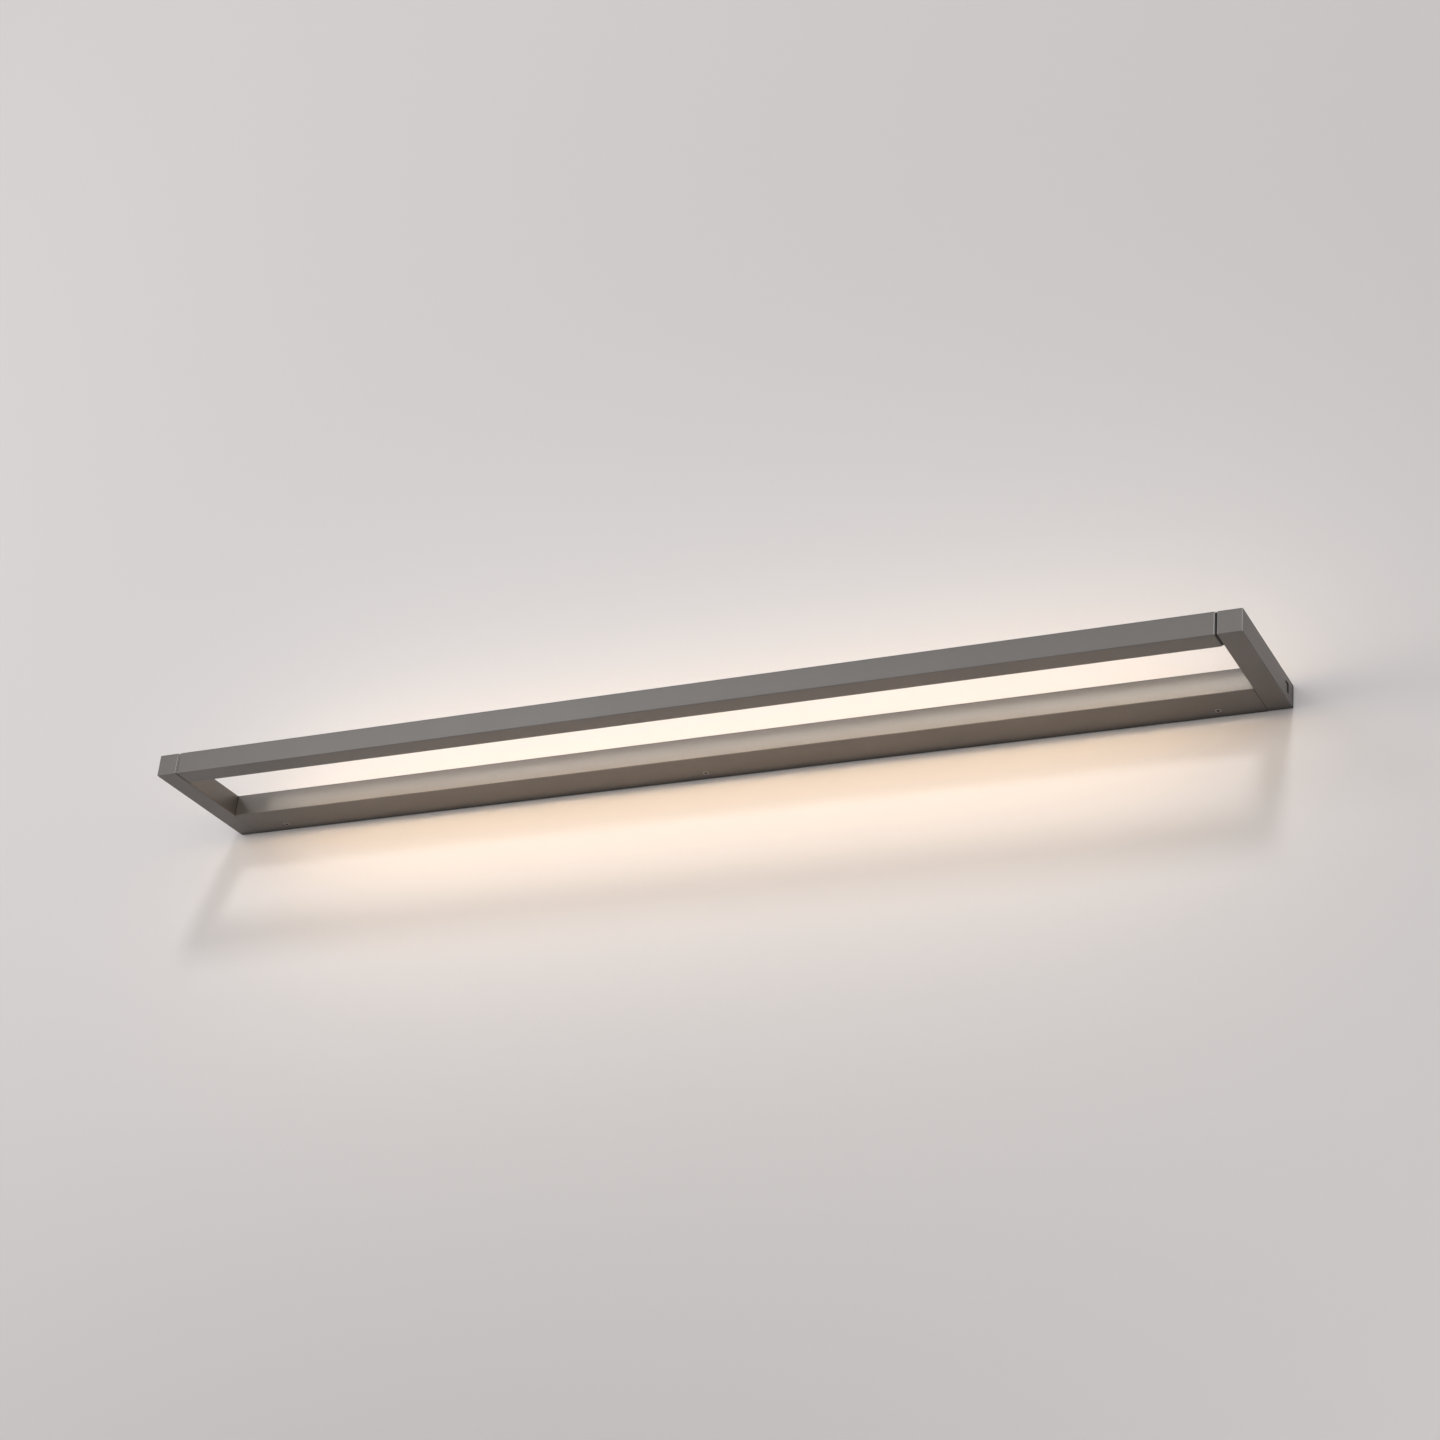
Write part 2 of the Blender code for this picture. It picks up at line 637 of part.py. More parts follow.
def make_arm(side, word, paint):
    arm = made(
        f"{word}_arm",
        block((side * ARM_INNER, -PROJECTION, -HALF_SECTION), (side * HALF, -FIT, HALF_SECTION)),
        paint,
    )
    rounded(arm, EDGE_RADIUS, EDGE_RADIUS)
    inside_z = HALF_SECTION - ARM_WALL
    outward = X_AXIS * side
    hollow = block(
        (side * ARM_INSIDE, BLOCK_Y, -inside_z), (side * (HALF - ARM_WALL), OVERRUN, inside_z)
    )
    window = COVER_HALF + COVER_SEAM
    cover_hole = block(
        (side * (HALF - ARM_WALL - OVERRUN), ARM_SCREW_Y - window, -window),
        (side * (HALF + OVERRUN), ARM_SCREW_Y + window, window),
    )
    start, end = ARM_INNER - OVERRUN, ARM_INSIDE + OVERRUN
    wall_holes = [rod(start, end, ARM_SCREW_RADIUS + FIT, (0, ARM_SCREW_Y, 0), outward)]
    for y, z in locating_pin_places():
        wall_holes.append(rod(start, end, LOCATING_PIN_RADIUS + FIT, (0, y, z), outward))
    pocket = LEAD_POCKET_DEPTH if side > 0 else PIN_SHANK_LENGTH + FIT
    pin_bore = rod(
        start, ARM_INNER + pocket, PIN_SHANK_RADIUS + FIT, (0, PIVOT_Y, 0), outward, TURN_STEPS
    )
    lock_hole = rod(
        PIVOT_Y,
        BLOCK_Y + OVERRUN,
        LOCK_SCREW_RADIUS + FIT,
        (side * (ARM_INNER + LOCK_SCREW_PLACE), 0, 0),
        Y_AXIS,
    )
    cuts = [hollow, cover_hole, pin_bore, lock_hole]
    if side > 0:
        collar_radius = LEAD_HOLE_RADIUS + LEAD_COLLAR_WALL
        wall_holes.append(rod(start, end, collar_radius, (0, LEAD_Y, LEAD_Z), outward))
        passage_x = ARM_INNER + PASSAGE_DEPTH
        cuts.append(rod(PIVOT_Y, BLOCK_Y + OVERRUN, PASSAGE_RADIUS, (passage_x, 0, 0), Y_AXIS))
    cut(arm, *cuts, together(wall_holes))


def make_corner_block(side, word, metal):
    x_outer = ARM_INNER - FIT
    x_body = ARM_INNER - CORNER_LENGTH
    x_foot = x_body - FOOT_LENGTH
    outline = [
        (side * x_outer, SEAT_Y),
        (side * x_foot, SEAT_Y),
        (side * x_foot, SEAT_Y + FOOT_THICKNESS),
        (side * x_body, SEAT_Y + FOOT_THICKNESS),
        (side * x_body, -CORNER_BACK),
        (side * x_outer, -CORNER_BACK),
    ]
    height = HOUSING_INSIDE_Z - FIT
    corner = made(f"{word}_corner_block", prism(outline, -height, height, "Z"), metal)
    foot_relief = block(
        (side * (x_foot - OVERRUN), SEAT_Y - OVERRUN, FOOT_TOP),
        (side * (x_body - MILLED_RELIEF), SEAT_Y + FOOT_THICKNESS + OVERRUN, height + OVERRUN),
    )
    inward = X_AXIS * -side
    face = (side * ARM_INNER, 0, 0)
    screw_depth = ARM_SCREW_LENGTH - ARM_WALL + OVERRUN
    holes = [
        rod(-OVERRUN, screw_depth, ARM_SCREW_RADIUS + FIT, Vector(face) + Y_AXIS * ARM_SCREW_Y, inward)
    ]
    for y, z in locating_pin_places():
        place = Vector(face) + Vector((0, y, z))
        depth = LOCATING_PIN_DEPTH + FIT
        holes.append(rod(-OVERRUN, depth, LOCATING_PIN_RADIUS + FIT, place, inward))
    holes.append(
        channel_screw_hole(
            side * (x_body - FOOT_LENGTH / 2), SEAT_Y, SEAT_Y + FOOT_THICKNESS
        )
    )
    if side > 0:
        place = Vector(face) + Vector((0, LEAD_Y, LEAD_Z))
        holes.append(rod(-OVERRUN, CORNER_LENGTH + OVERRUN, LEAD_HOLE_RADIUS, place, inward))
    cut(corner, foot_relief, together(holes))


def make_arm_fasteners(side, word, steel):
    """The screw and the two pins between arm and corner block, and the block's own screw."""
    inward = X_AXIS * -side
    seat = Vector((side * ARM_INSIDE, ARM_SCREW_Y, 0))
    profile = [
        (ARM_SCREW_LENGTH, 0),
        (ARM_SCREW_LENGTH, ARM_SCREW_RADIUS),
        (-FIT, ARM_SCREW_RADIUS),
        (-FIT, ARM_SCREW_HEAD_RADIUS),
        (-FIT - ARM_SCREW_HEAD, ARM_SCREW_HEAD_RADIUS),
        (-FIT - ARM_SCREW_HEAD, 0),
    ]
    made(f"{word}_arm_screw", turned(profile, seat, inward, SCREW_STEPS), steel)
    for place, (y, z) in zip(("front", "rear"), locating_pin_places()):
        shape = rod(
            -ARM_WALL + FIT, LOCATING_PIN_DEPTH, LOCATING_PIN_RADIUS, (side * ARM_INNER, y, z), inward
        )
        made(f"{word}_{place}_locating_pin", shape, steel)
    foot_x = side * (ARM_INNER - CORNER_LENGTH - FOOT_LENGTH / 2)
    made(f"{word}_corner_block_screw", channel_screw(foot_x, SEAT_Y + FOOT_THICKNESS), steel)


def make_screw_cover(side, word, plastic):
    """A square snap-in cover; its outline runs inwards from the arm's outer face."""
    leg_in = COVER_HALF - COVER_LEG
    catch = ARM_WALL + FIT
    half = [
        (0, COVER_HALF),
        (catch, COVER_HALF),
        (catch, COVER_HALF + COVER_BARB),
        (COVER_LEG_REACH, COVER_HALF - COVER_BARB / 2),
        (COVER_LEG_REACH, leg_in),
        (COVER_PLATE, leg_in),
    ]
    outline = [(side * (HALF - depth), ARM_SCREW_Y + y) for depth, y in mirrored(half)]
    made(f"{word}_screw_cover", prism(outline, -COVER_HALF, COVER_HALF, "Z"), plastic)


# Electrical gear in the back housing

def hat_outline(start, end, depth, tab):
    """A case on the seat plane with a fixing tab at each end, as (x, y)."""
    return [
        (start - tab, SEAT_Y),
        (end + tab, SEAT_Y),
        (end + tab, SEAT_Y + TAB_THICKNESS),
        (end, SEAT_Y + TAB_THICKNESS),
        (end, SEAT_Y + depth),
        (start, SEAT_Y + depth),
        (start, SEAT_Y + TAB_THICKNESS),
        (start - tab, SEAT_Y + TAB_THICKNESS),
    ]


def make_driver(case):
    lead_y = SEAT_Y + DRIVER_LEAD_HEIGHT
    outline = hat_outline(DRIVER_START, DRIVER_END, DRIVER_DEPTH, TAB_LENGTH)
    driver = made(
        "led_driver", prism(outline, -DRIVER_HALF_HEIGHT, DRIVER_HALF_HEIGHT, "Z"), case
    )
    holes = [
        channel_screw_hole(x, SEAT_Y, SEAT_Y + TAB_THICKNESS)
        for x in (DRIVER_START - TAB_LENGTH / 2, DRIVER_END + TAB_LENGTH / 2)
    ]
    for z in (-DRIVER_ENTRY_Z, DRIVER_ENTRY_Z):
        place = (DRIVER_START, lead_y, z)
        holes.append(rod(-OVERRUN, ENTRY_DEPTH + FIT, CORE_RADIUS + FIT, place, X_AXIS))
    place = (DRIVER_END, lead_y, 0)
    holes.append(rod(-OVERRUN, ENTRY_DEPTH + FIT, LEAD_RADIUS + FIT, place, -X_AXIS))
    cut(driver, together(holes))


def terminal_zs():
    """The heights of the three poles."""
    return [step * TERMINAL_PITCH for step in (-1, 0, 1)]


def terminal_screw_xs():
    """The two clamping screws of each pole."""
    return (TERMINAL_START + TERMINAL_SCREW_INSET, TERMINAL_END - TERMINAL_SCREW_INSET)


def make_terminal_block(plastic):
    """The three-pole block, bought with its clamping screws already in their wells."""
    outline = hat_outline(TERMINAL_START, TERMINAL_END, TERMINAL_DEPTH, TERMINAL_TAB)
    height = TERMINAL_HALF_HEIGHT
    terminal = made("terminal_block", prism(outline, -height, height, "Z"), plastic)
    top = SEAT_Y + TERMINAL_DEPTH
    wire_y = SEAT_Y + TERMINAL_WIRE_HEIGHT
    holes = [
        channel_screw_hole(x, SEAT_Y, SEAT_Y + TAB_THICKNESS)
        for x in (TERMINAL_START - TERMINAL_TAB / 2, TERMINAL_END + TERMINAL_TAB / 2)
    ]
    for z in terminal_zs():
        for x, inward in ((TERMINAL_START, X_AXIS), (TERMINAL_END, -X_AXIS)):
            place = (x, wire_y, z)
            holes.append(rod(-OVERRUN, ENTRY_DEPTH + FIT, CORE_RADIUS + FIT, place, inward))
        for x in terminal_screw_xs():
            radius = TERMINAL_SCREW_RADIUS + FIT
            holes.append(rod(-TERMINAL_WELL, OVERRUN, radius, (x, top, z), Y_AXIS))
    cut(terminal, together(holes))
    floor = top - TERMINAL_WELL
    screws = [
        rod(-OVERRUN, TERMINAL_SCREW, TERMINAL_SCREW_RADIUS, (x, floor, z), Y_AXIS)
        for x in terminal_screw_xs()
        for z in terminal_zs()
    ]
    join(terminal, together(screws))


def make_gear_screws(steel):
    """Screws for the tabs of the driver and of the terminal block."""
    head_y = SEAT_Y + TAB_THICKNESS
    for name, start, end, tab in (
        ("driver_screw", DRIVER_START, DRIVER_END, TAB_LENGTH),
        ("terminal_block_screw", TERMINAL_START, TERMINAL_END, TERMINAL_TAB),
    ):
        made(f"left_{name}", channel_screw(start - tab / 2, head_y), steel)
        made(f"right_{name}", channel_screw(end + tab / 2, head_y), steel)


def make_mains_leads(brown, blue, green):
    """Live and neutral to the driver, earth to a ring tag on the housing."""
    start_x = TERMINAL_END - ENTRY_DEPTH
    start_y = SEAT_Y + TERMINAL_WIRE_HEIGHT
    end_y = SEAT_Y + DRIVER_LEAD_HEIGHT
    span = DRIVER_START - TERMINAL_END
    poles = terminal_zs()
    for name, z, end_z, colour in (
        ("live_lead", poles[2], DRIVER_ENTRY_Z, brown),
        ("neutral_lead", poles[1], -DRIVER_ENTRY_Z, blue),
    ):
        first_x, middle_x, last_x = (TERMINAL_END + span * share for share in MAINS_BEND_SHARES)
        route = [
            (start_x, start_y, z),
            (first_x, start_y, z),
            (middle_x, (start_y + end_y) / 2 + CORE_RADIUS, (z + end_z) / 2),
            (last_x, end_y, end_z),
            (DRIVER_START + ENTRY_DEPTH, end_y, end_z),
        ]
        lead(name, route, CORE_RADIUS, colour)
    tongue_y = SEAT_Y + EARTH_TAG + FIT + CORE_RADIUS
    tongue_x = EARTH_SCREW_X - EARTH_TAG_RADIUS
    reach = tongue_x - GEAR_GAP_START
    places = [
        (GEAR_GAP_START + reach * along, poles[0] * height) for along, height in EARTH_BEND_SHARES
    ]
    route = [
        (start_x, start_y, poles[0]),
        (TERMINAL_END + TERMINAL_TAB * EARTH_START_SHARE, start_y, poles[0]),
        (places[0][0], start_y, places[0][1]),
        (places[1][0], tongue_y + CORE_RADIUS, places[1][1]),
        (places[2][0], tongue_y, places[2][1]),
        (tongue_x - FIT, tongue_y, 0),
    ]
    lead("earth_lead", route, CORE_RADIUS, green)


def make_earth_tag(brass, steel):
    """A ring tag with a tongue that is crimped on the earth lead, and its screw."""
    side_angle = asin(EARTH_TONGUE_HALF / EARTH_TAG_RADIUS)
    outline = arc(
        (EARTH_SCREW_X, 0), EARTH_TAG_RADIUS, -pi + side_angle, pi - side_angle, SCREW_STEPS
    )
    end_x = EARTH_SCREW_X - EARTH_TAG_RADIUS - EARTH_TONGUE_LENGTH
    outline += [(end_x, EARTH_TONGUE_HALF), (end_x, -EARTH_TONGUE_HALF)]
    tag = made("earth_tag", prism(outline, SEAT_Y, SEAT_Y + EARTH_TAG, "Y"), brass)
    cut(tag, channel_screw_hole(EARTH_SCREW_X, SEAT_Y, SEAT_Y + EARTH_TAG))
    made("earth_screw", channel_screw(EARTH_SCREW_X, SEAT_Y + EARTH_TAG), steel)


def make_driver_lead(sheath):
    """The low-voltage lead, from the driver through the right arm into the hollow pin."""
    height = SEAT_Y + DRIVER_LEAD_HEIGHT
    run = ARM_INNER - CORNER_LENGTH - FOOT_LENGTH - DRIVER_END
    rise_x, level_x = (DRIVER_END + run * share for share in DRIVER_LEAD_RISE_SHARES)
    passage_x = ARM_INNER + PASSAGE_DEPTH
    across = passage_x - ARM_INSIDE
    arm_run = LEAD_Y - BLOCK_Y
    bend = LEAD_BEND_RADIUS
    straight = bend * PIN_BEND_START_SHARE
    corner = bend * PIN_BEND_MIDDLE_SHARE
    route = [
        (DRIVER_END - ENTRY_DEPTH, height, 0),
        (DRIVER_END + ENTRY_DEPTH, height, 0),
        (rise_x, (height + LEAD_Y) / 2, LEAD_Z / 2),
        (level_x, LEAD_Y, LEAD_Z),
        (ARM_INNER - CORNER_LENGTH - FOOT_LENGTH / 2, LEAD_Y, LEAD_Z),
        (ARM_INNER - CORNER_LENGTH / 2, LEAD_Y, LEAD_Z),
        (ARM_INSIDE, LEAD_Y, LEAD_Z),
        *(
            (ARM_INSIDE + across * sideways, LEAD_Y - arm_run * forward, LEAD_Z * up)
            for sideways, forward, up in ARM_BEND_SHARES
        ),
        (passage_x, BLOCK_Y + bend, 0),
        (passage_x, PIVOT_Y + straight, 0),
        (passage_x, PIVOT_Y + bend, 0),
        (passage_x - corner, PIVOT_Y + corner, 0),
        (passage_x - bend, PIVOT_Y, 0),
        (passage_x - straight, PIVOT_Y, 0),
        (ARM_INNER, PIVOT_Y, 0),
        (ARM_INNER - LEAD_SPLIT + FIT / 2, PIVOT_Y, 0),
    ]
    lead("driver_lead", route, LEAD_RADIUS, sheath)


def make_lead_collar(rubber):
    """The rubber collar where the lead passes through the right arm's inner wall."""
    bore = LEAD_RADIUS + FIT
    neck = bore + LEAD_COLLAR_WALL
    head = neck + LEAD_COLLAR_FLANGE
    profile = [
        (FIT, bore),
        (FIT, neck),
        (ARM_WALL + FIT, neck),
        (ARM_WALL + FIT, head),
        (ARM_WALL + FIT + LEAD_COLLAR_FLANGE_HEIGHT, head),
        (ARM_WALL + FIT + LEAD_COLLAR_FLANGE_HEIGHT, bore),
    ]
    place = (ARM_INNER, LEAD_Y, LEAD_Z)
    made("lead_collar", turned(profile, place, X_AXIS, SCREW_STEPS, hollow=True), rubber)


# Pivot pins, fixed in the arms

def make_pivot_pin(side, word, steel):
    """A shank in the arm, a collar in the end gap and a grooved spigot in the bush."""
    groove = PIN_SPIGOT_RADIUS - RING_GROOVE_DEPTH
    half_groove = RING_GROOVE_WIDTH / 2
    outside = [
        (-PIN_SHANK_LENGTH, PIN_SHANK_RADIUS),
        (FIT, PIN_SHANK_RADIUS),
        (FIT, PIN_COLLAR_RADIUS),
        (PIN_COLLAR_END, PIN_COLLAR_RADIUS),
        (PIN_COLLAR_END, PIN_SPIGOT_RADIUS),
        (RING_PLACE - half_groove, PIN_SPIGOT_RADIUS),
        (RING_PLACE - half_groove, groove),
        (RING_PLACE + half_groove, groove),
        (RING_PLACE + half_groove, PIN_SPIGOT_RADIUS),
        (PIN_SPIGOT_END, PIN_SPIGOT_RADIUS),
    ]
    centre = (side * ARM_INNER, PIVOT_Y, 0)
    inward = X_AXIS * -side
    if side > 0:
        bore = [(PIN_SPIGOT_END, PIN_BORE_RADIUS), (-PIN_SHANK_LENGTH, PIN_BORE_RADIUS)]
        shape = turned(outside + bore, centre, inward, hollow=True)
        made(f"{word}_pivot_pin", shape, steel)
        return
    solid = [(-PIN_SHANK_LENGTH, 0), *outside, (PIN_SPIGOT_END, 0)]
    pin = made(f"{word}_pivot_pin", turned(solid, centre, inward), steel)
    lug_start = END_GAP + PLUG_RECESS
    lug_end = PIN_COLLAR_END - MILLED_RELIEF
    lug = [
        (lug_start, PIN_COLLAR_RADIUS - LUG_HEIGHT),
        (lug_end, PIN_COLLAR_RADIUS - LUG_HEIGHT),
        (lug_end, PIN_COLLAR_RADIUS + LUG_HEIGHT),
        (lug_start, PIN_COLLAR_RADIUS + LUG_HEIGHT),
    ]
    lug_shape = turned(
        lug,
        centre,
        inward,
        EDGE_STEPS,
        hollow=True,
        angle=2 * LUG_HALF_ANGLE,
        start_angle=-LUG_HALF_ANGLE,
    )
    join(pin, lug_shape)


def make_pin_lock_screw(side, word, steel):
    """The grub screw that holds the pin, turned from inside the hollow arm."""
    place = (side * (ARM_INNER + LOCK_SCREW_PLACE), 0, 0)
    start = PIVOT_Y + PIN_SHANK_RADIUS + FIT
    shape = rod(start, BLOCK_Y - LOCK_SCREW_SINK, LOCK_SCREW_RADIUS, place, Y_AXIS)
    made(f"{word}_pin_lock_screw", shape, steel)


# Light bar, in places measured from its own axis

def port_outline():
    """The screw port in one corner of the bar, a round groove with a narrow mouth."""
    mouth = asin(PORT_SLOT_HALF / PORT_RADIUS)
    centre = (-PORT_PLACE, PORT_PLACE)
    return arc(centre, PORT_RADIUS, mouth, 2 * pi - mouth, PORT_STEPS)


def make_bar_housing(paint, pivot):
    bar = made(
        "bar_housing",
        block((-BAR_HALF, -HALF_SECTION, -HALF_SECTION), (BAR_HALF, HALF_SECTION, HALF_SECTION)),
        paint,
        pivot,
    )
    rounded(bar, EDGE_RADIUS, BAR_END_RADIUS)
    snap_bottom = SNAP_TOP - SNAP_HEIGHT
    snap_side = BAR_INSIDE + DIFFUSER_BARB
    port_top = BAR_FLOOR + PORT_BLOCK
    port_side = BAR_INSIDE - PORT_BLOCK
    groove_top = BAR_FLOOR + BOARD_GROOVE_HEIGHT
    half = [
        (HALF_SECTION + OVERRUN, BAR_INSIDE),
        (SNAP_TOP, BAR_INSIDE),
        (SNAP_TOP, snap_side),
        (snap_bottom, snap_side),
        (snap_bottom, BAR_INSIDE),
        (port_top, BAR_INSIDE),
        (port_top, PORT_PLACE + PORT_SLOT_HALF),
        *port_outline(),
        (port_top, PORT_PLACE - PORT_SLOT_HALF),
        (port_top, port_side),
        (groove_top, port_side),
        (groove_top, port_side + BOARD_GROOVE_DEPTH),
        (BAR_FLOOR, port_side + BOARD_GROOVE_DEPTH),
    ]
    channel = prism(mirrored(half), -BAR_HALF - OVERRUN, BAR_HALF + OVERRUN, "X")
    pocket_side = BAR_INSIDE + MILLED_RELIEF
    pockets = [
        block(
            (side * (BAR_HALF - PLUG_LENGTH - FIT), -pocket_side, -pocket_side),
            (side * (BAR_HALF + OVERRUN), HALF_SECTION + OVERRUN, pocket_side),
        )
        for side, _ in SIDES
    ]
    cut(bar, channel, together(pockets))


def plug_screw_places():
    """The two screws of each end plug, as (y, z) from the bar's axis."""
    return [(-PORT_PLACE, -PORT_PLACE), (-PORT_PLACE, PORT_PLACE)]


def make_end_plug(side, word, metal, pivot):
    """The block in the bar's end that holds the bush; the left one has the stop in its seat."""
    outer = BAR_HALF - PLUG_RECESS
    wide = BAR_INSIDE - FIT
    plug = made(
        f"{word}_end_plug",
        block(
            (side * (BAR_HALF - PLUG_LENGTH), -wide, -wide),
            (side * outer, DIFFUSER_BOTTOM - FIT, wide),
        ),
        metal,
        pivot,
    )
    inward = X_AXIS * -side
    face = (side * BAR_HALF, 0, 0)
    seat_radius = max(BUSH_FLANGE_RADIUS, PIN_COLLAR_RADIUS) + FIT
    seat = rod(-OVERRUN, PLUG_SEAT_DEPTH, seat_radius, face, inward, TURN_STEPS)
    bore = rod(0, PLUG_BORE_END, BUSH_RADIUS + FIT, face, inward, TURN_STEPS)
    lead_exit = rod(0, PLUG_LENGTH + OVERRUN, LEAD_EXIT_RADIUS, face, inward)
    head_end = PLUG_RECESS + PLUG_SCREW_HEAD + 2 * FIT
    screw_holes = []
    for y, z in plug_screw_places():
        profile = [
            (-OVERRUN, 0),
            (-OVERRUN, PLUG_SCREW_HEAD_RADIUS + FIT),
            (head_end, PLUG_SCREW_HEAD_RADIUS + FIT),
            (head_end, PORT_RADIUS),
            (PLUG_LENGTH + OVERRUN, PORT_RADIUS),
            (PLUG_LENGTH + OVERRUN, 0),
        ]
        screw_holes.append(turned(profile, Vector(face) + Vector((0, y, z)), inward, SCREW_STEPS))
    cuts = [seat, bore, lead_exit, together(screw_holes)]
    if side < 0:
        inner_radius = seat_radius - FIT
        outer_radius = PIN_COLLAR_RADIUS + LUG_HEIGHT + FIT
        end = PIN_COLLAR_END + FIT - END_GAP
        ring = [
            (-OVERRUN, inner_radius),
            (end, inner_radius),
            (end, outer_radius),
            (-OVERRUN, outer_radius),
        ]
        free = 2 * pi - 2 * WEB_HALF_ANGLE
        cuts.append(
            turned(ring, face, inward, TURN_STEPS, True, angle=free, start_angle=pi + WEB_HALF_ANGLE)
        )
    cut(plug, *cuts)


def make_end_plug_screws(side, word, steel, pivot):
    head = PLUG_RECESS + FIT
    shank = PORT_RADIUS - FIT
    tip = PLUG_LENGTH + PLUG_SCREW_BITE
    profile = [
        (head, 0),
        (head, PLUG_SCREW_HEAD_RADIUS),
        (head + PLUG_SCREW_HEAD, PLUG_SCREW_HEAD_RADIUS),
        (head + PLUG_SCREW_HEAD, shank),
        (tip, shank),
        (tip, 0),
    ]
    for place, (y, z) in zip(("lower", "upper"), plug_screw_places()):
        shape = turned(profile, (side * BAR_HALF, y, z), X_AXIS * -side, SCREW_STEPS)
        made(f"{word}_{place}_end_plug_screw", shape, steel, pivot)


def make_bush(side, word, bronze, pivot):
    """A flanged sleeve in the end plug, which turns on the pin's spigot."""
    seat = END_GAP + PLUG_SEAT_DEPTH - FIT
    profile = [
        (seat - BUSH_FLANGE, BUSH_BORE_RADIUS),
        (seat - BUSH_FLANGE, BUSH_FLANGE_RADIUS),
        (seat, BUSH_FLANGE_RADIUS),
        (seat, BUSH_RADIUS),
        (BUSH_END, BUSH_RADIUS),
        (BUSH_END, BUSH_BORE_RADIUS),
    ]
    shape = turned(profile, (side * ARM_INNER, 0, 0), X_AXIS * -side, hollow=True)
    made(f"{word}_pivot_bush", shape, bronze, pivot)


def make_friction_ring(side, word, rubber, pivot):
    """The rubber ring between spigot and bush that holds the bar where it is turned to."""
    middle = PIN_SPIGOT_RADIUS - RING_GROOVE_DEPTH + FIT + RING_SECTION_RADIUS
    profile = arc((RING_PLACE, middle), RING_SECTION_RADIUS, 0, 2 * pi, 2 * EDGE_STEPS)[:-1]
    shape = turned(profile, (side * ARM_INNER, 0, 0), X_AXIS * -side, hollow=True)
    made(f"{word}_friction_ring", shape, rubber, pivot)


def make_diffuser(opal, pivot):
    """The opal cover, a plate with two legs that snap into the bar's grooves."""
    top = HALF_SECTION - DIFFUSER_RECESS
    wide = BAR_INSIDE - FIT
    barb_top = DIFFUSER_BOTTOM - DIFFUSER_BARB_TOP
    barb_bottom = barb_top - DIFFUSER_BARB_HEIGHT
    leg_end = DIFFUSER_BOTTOM - DIFFUSER_LEG_REACH
    half = [
        (top, wide - DIFFUSER_CHAMFER),
        (top - DIFFUSER_CHAMFER, wide),
        (barb_top, wide),
        (barb_top, wide + DIFFUSER_BARB),
        (barb_bottom, wide + DIFFUSER_BARB),
        (leg_end, wide - FIT),
        (leg_end, wide - DIFFUSER_LEG),
        (DIFFUSER_BOTTOM, wide - DIFFUSER_LEG),
    ]
    end = BAR_HALF - DIFFUSER_RECESS
    diffuser = made("diffuser", prism(mirrored(half), -end, end, "X"), opal, pivot)
    trims = [
        block(
            (side * (BAR_HALF - PLUG_LENGTH - BOARD_END_GAP), leg_end - OVERRUN, -HALF_SECTION),
            (side * (BAR_HALF + OVERRUN), DIFFUSER_BOTTOM + MILLED_RELIEF, HALF_SECTION),
        )
        for side, _ in SIDES
    ]
    cut(diffuser, together(trims))


def make_led_board(side, word, board_white, pivot):
    """A circuit board in the bar's grooves, with its row of soldered chips."""
    half_width = BAR_INSIDE - PORT_BLOCK + BOARD_GROOVE_DEPTH - FIT
    shape = block(
        (side * BOARD_GAP / 2, BAR_FLOOR + FIT, -half_width), (side * BOARD_END, BOARD_TOP, half_width)
    )
    board = made(f"{word}_led_board", shape, board_white, pivot)
    count = round((BOARD_END - CHIP_END_MARGIN - CHIP_LENGTH / 2) / CHIP_PITCH)
    join(board, together([chip(side * (2 * place + 1) * CHIP_PITCH / 2) for place in range(count)]))


def make_board_link(plastic, pivot):
    """The connector that bridges the two boards in the middle of the bar."""
    seat = BOARD_TOP + FIT
    shape = block(
        (-LINK_LENGTH / 2, seat, -LINK_WIDTH / 2), (LINK_LENGTH / 2, seat + LINK_HEIGHT, LINK_WIDTH / 2)
    )
    made("board_link", shape, plastic, pivot)


def chip(x):
    """One chip: a small block with a shallow window sunk in its face."""
    shape = block(
        (x - CHIP_LENGTH / 2, BOARD_TOP - BOARD_THICKNESS / 2, -CHIP_WIDTH / 2),
        (x + CHIP_LENGTH / 2, BOARD_TOP + CHIP_HEIGHT, CHIP_WIDTH / 2),
    )
    face = max(shape.faces, key=lambda item: item.calc_center_median().y)
    bmesh.ops.inset_region(shape, faces=[face], thickness=CHIP_WINDOW_INSET, depth=0)
    bmesh.ops.translate(shape, vec=-Y_AXIS * CHIP_WINDOW_DEPTH, verts=face.verts)
    return shape


def make_bar_lead(sheath, pivot):
    """The lead from the hollow pin to the end of the right circuit board."""
    plug_end = BAR_HALF - PLUG_LENGTH
    drop_x = BOARD_END - LEAD_RADIUS - FIT
    first_y, second_y = (BAR_FLOOR * share for share in BAR_LEAD_DROP_SHARES)
    route = [
        (ARM_INNER - LEAD_SPLIT - FIT / 2, 0, 0),
        (plug_end + LEAD_EXIT_RADIUS, 0, 0),
        (plug_end - BOARD_END_GAP / 2, -LEAD_RADIUS * BAR_LEAD_DIP_SHARE, 0),
        (drop_x + LEAD_RADIUS * BAR_LEAD_LEAN_SHARE, first_y, 0),
        (drop_x, second_y, 0),
        (drop_x, BOARD_TOP + FIT, 0),
    ]
    lead("bar_lead", route, LEAD_RADIUS, sheath, pivot)


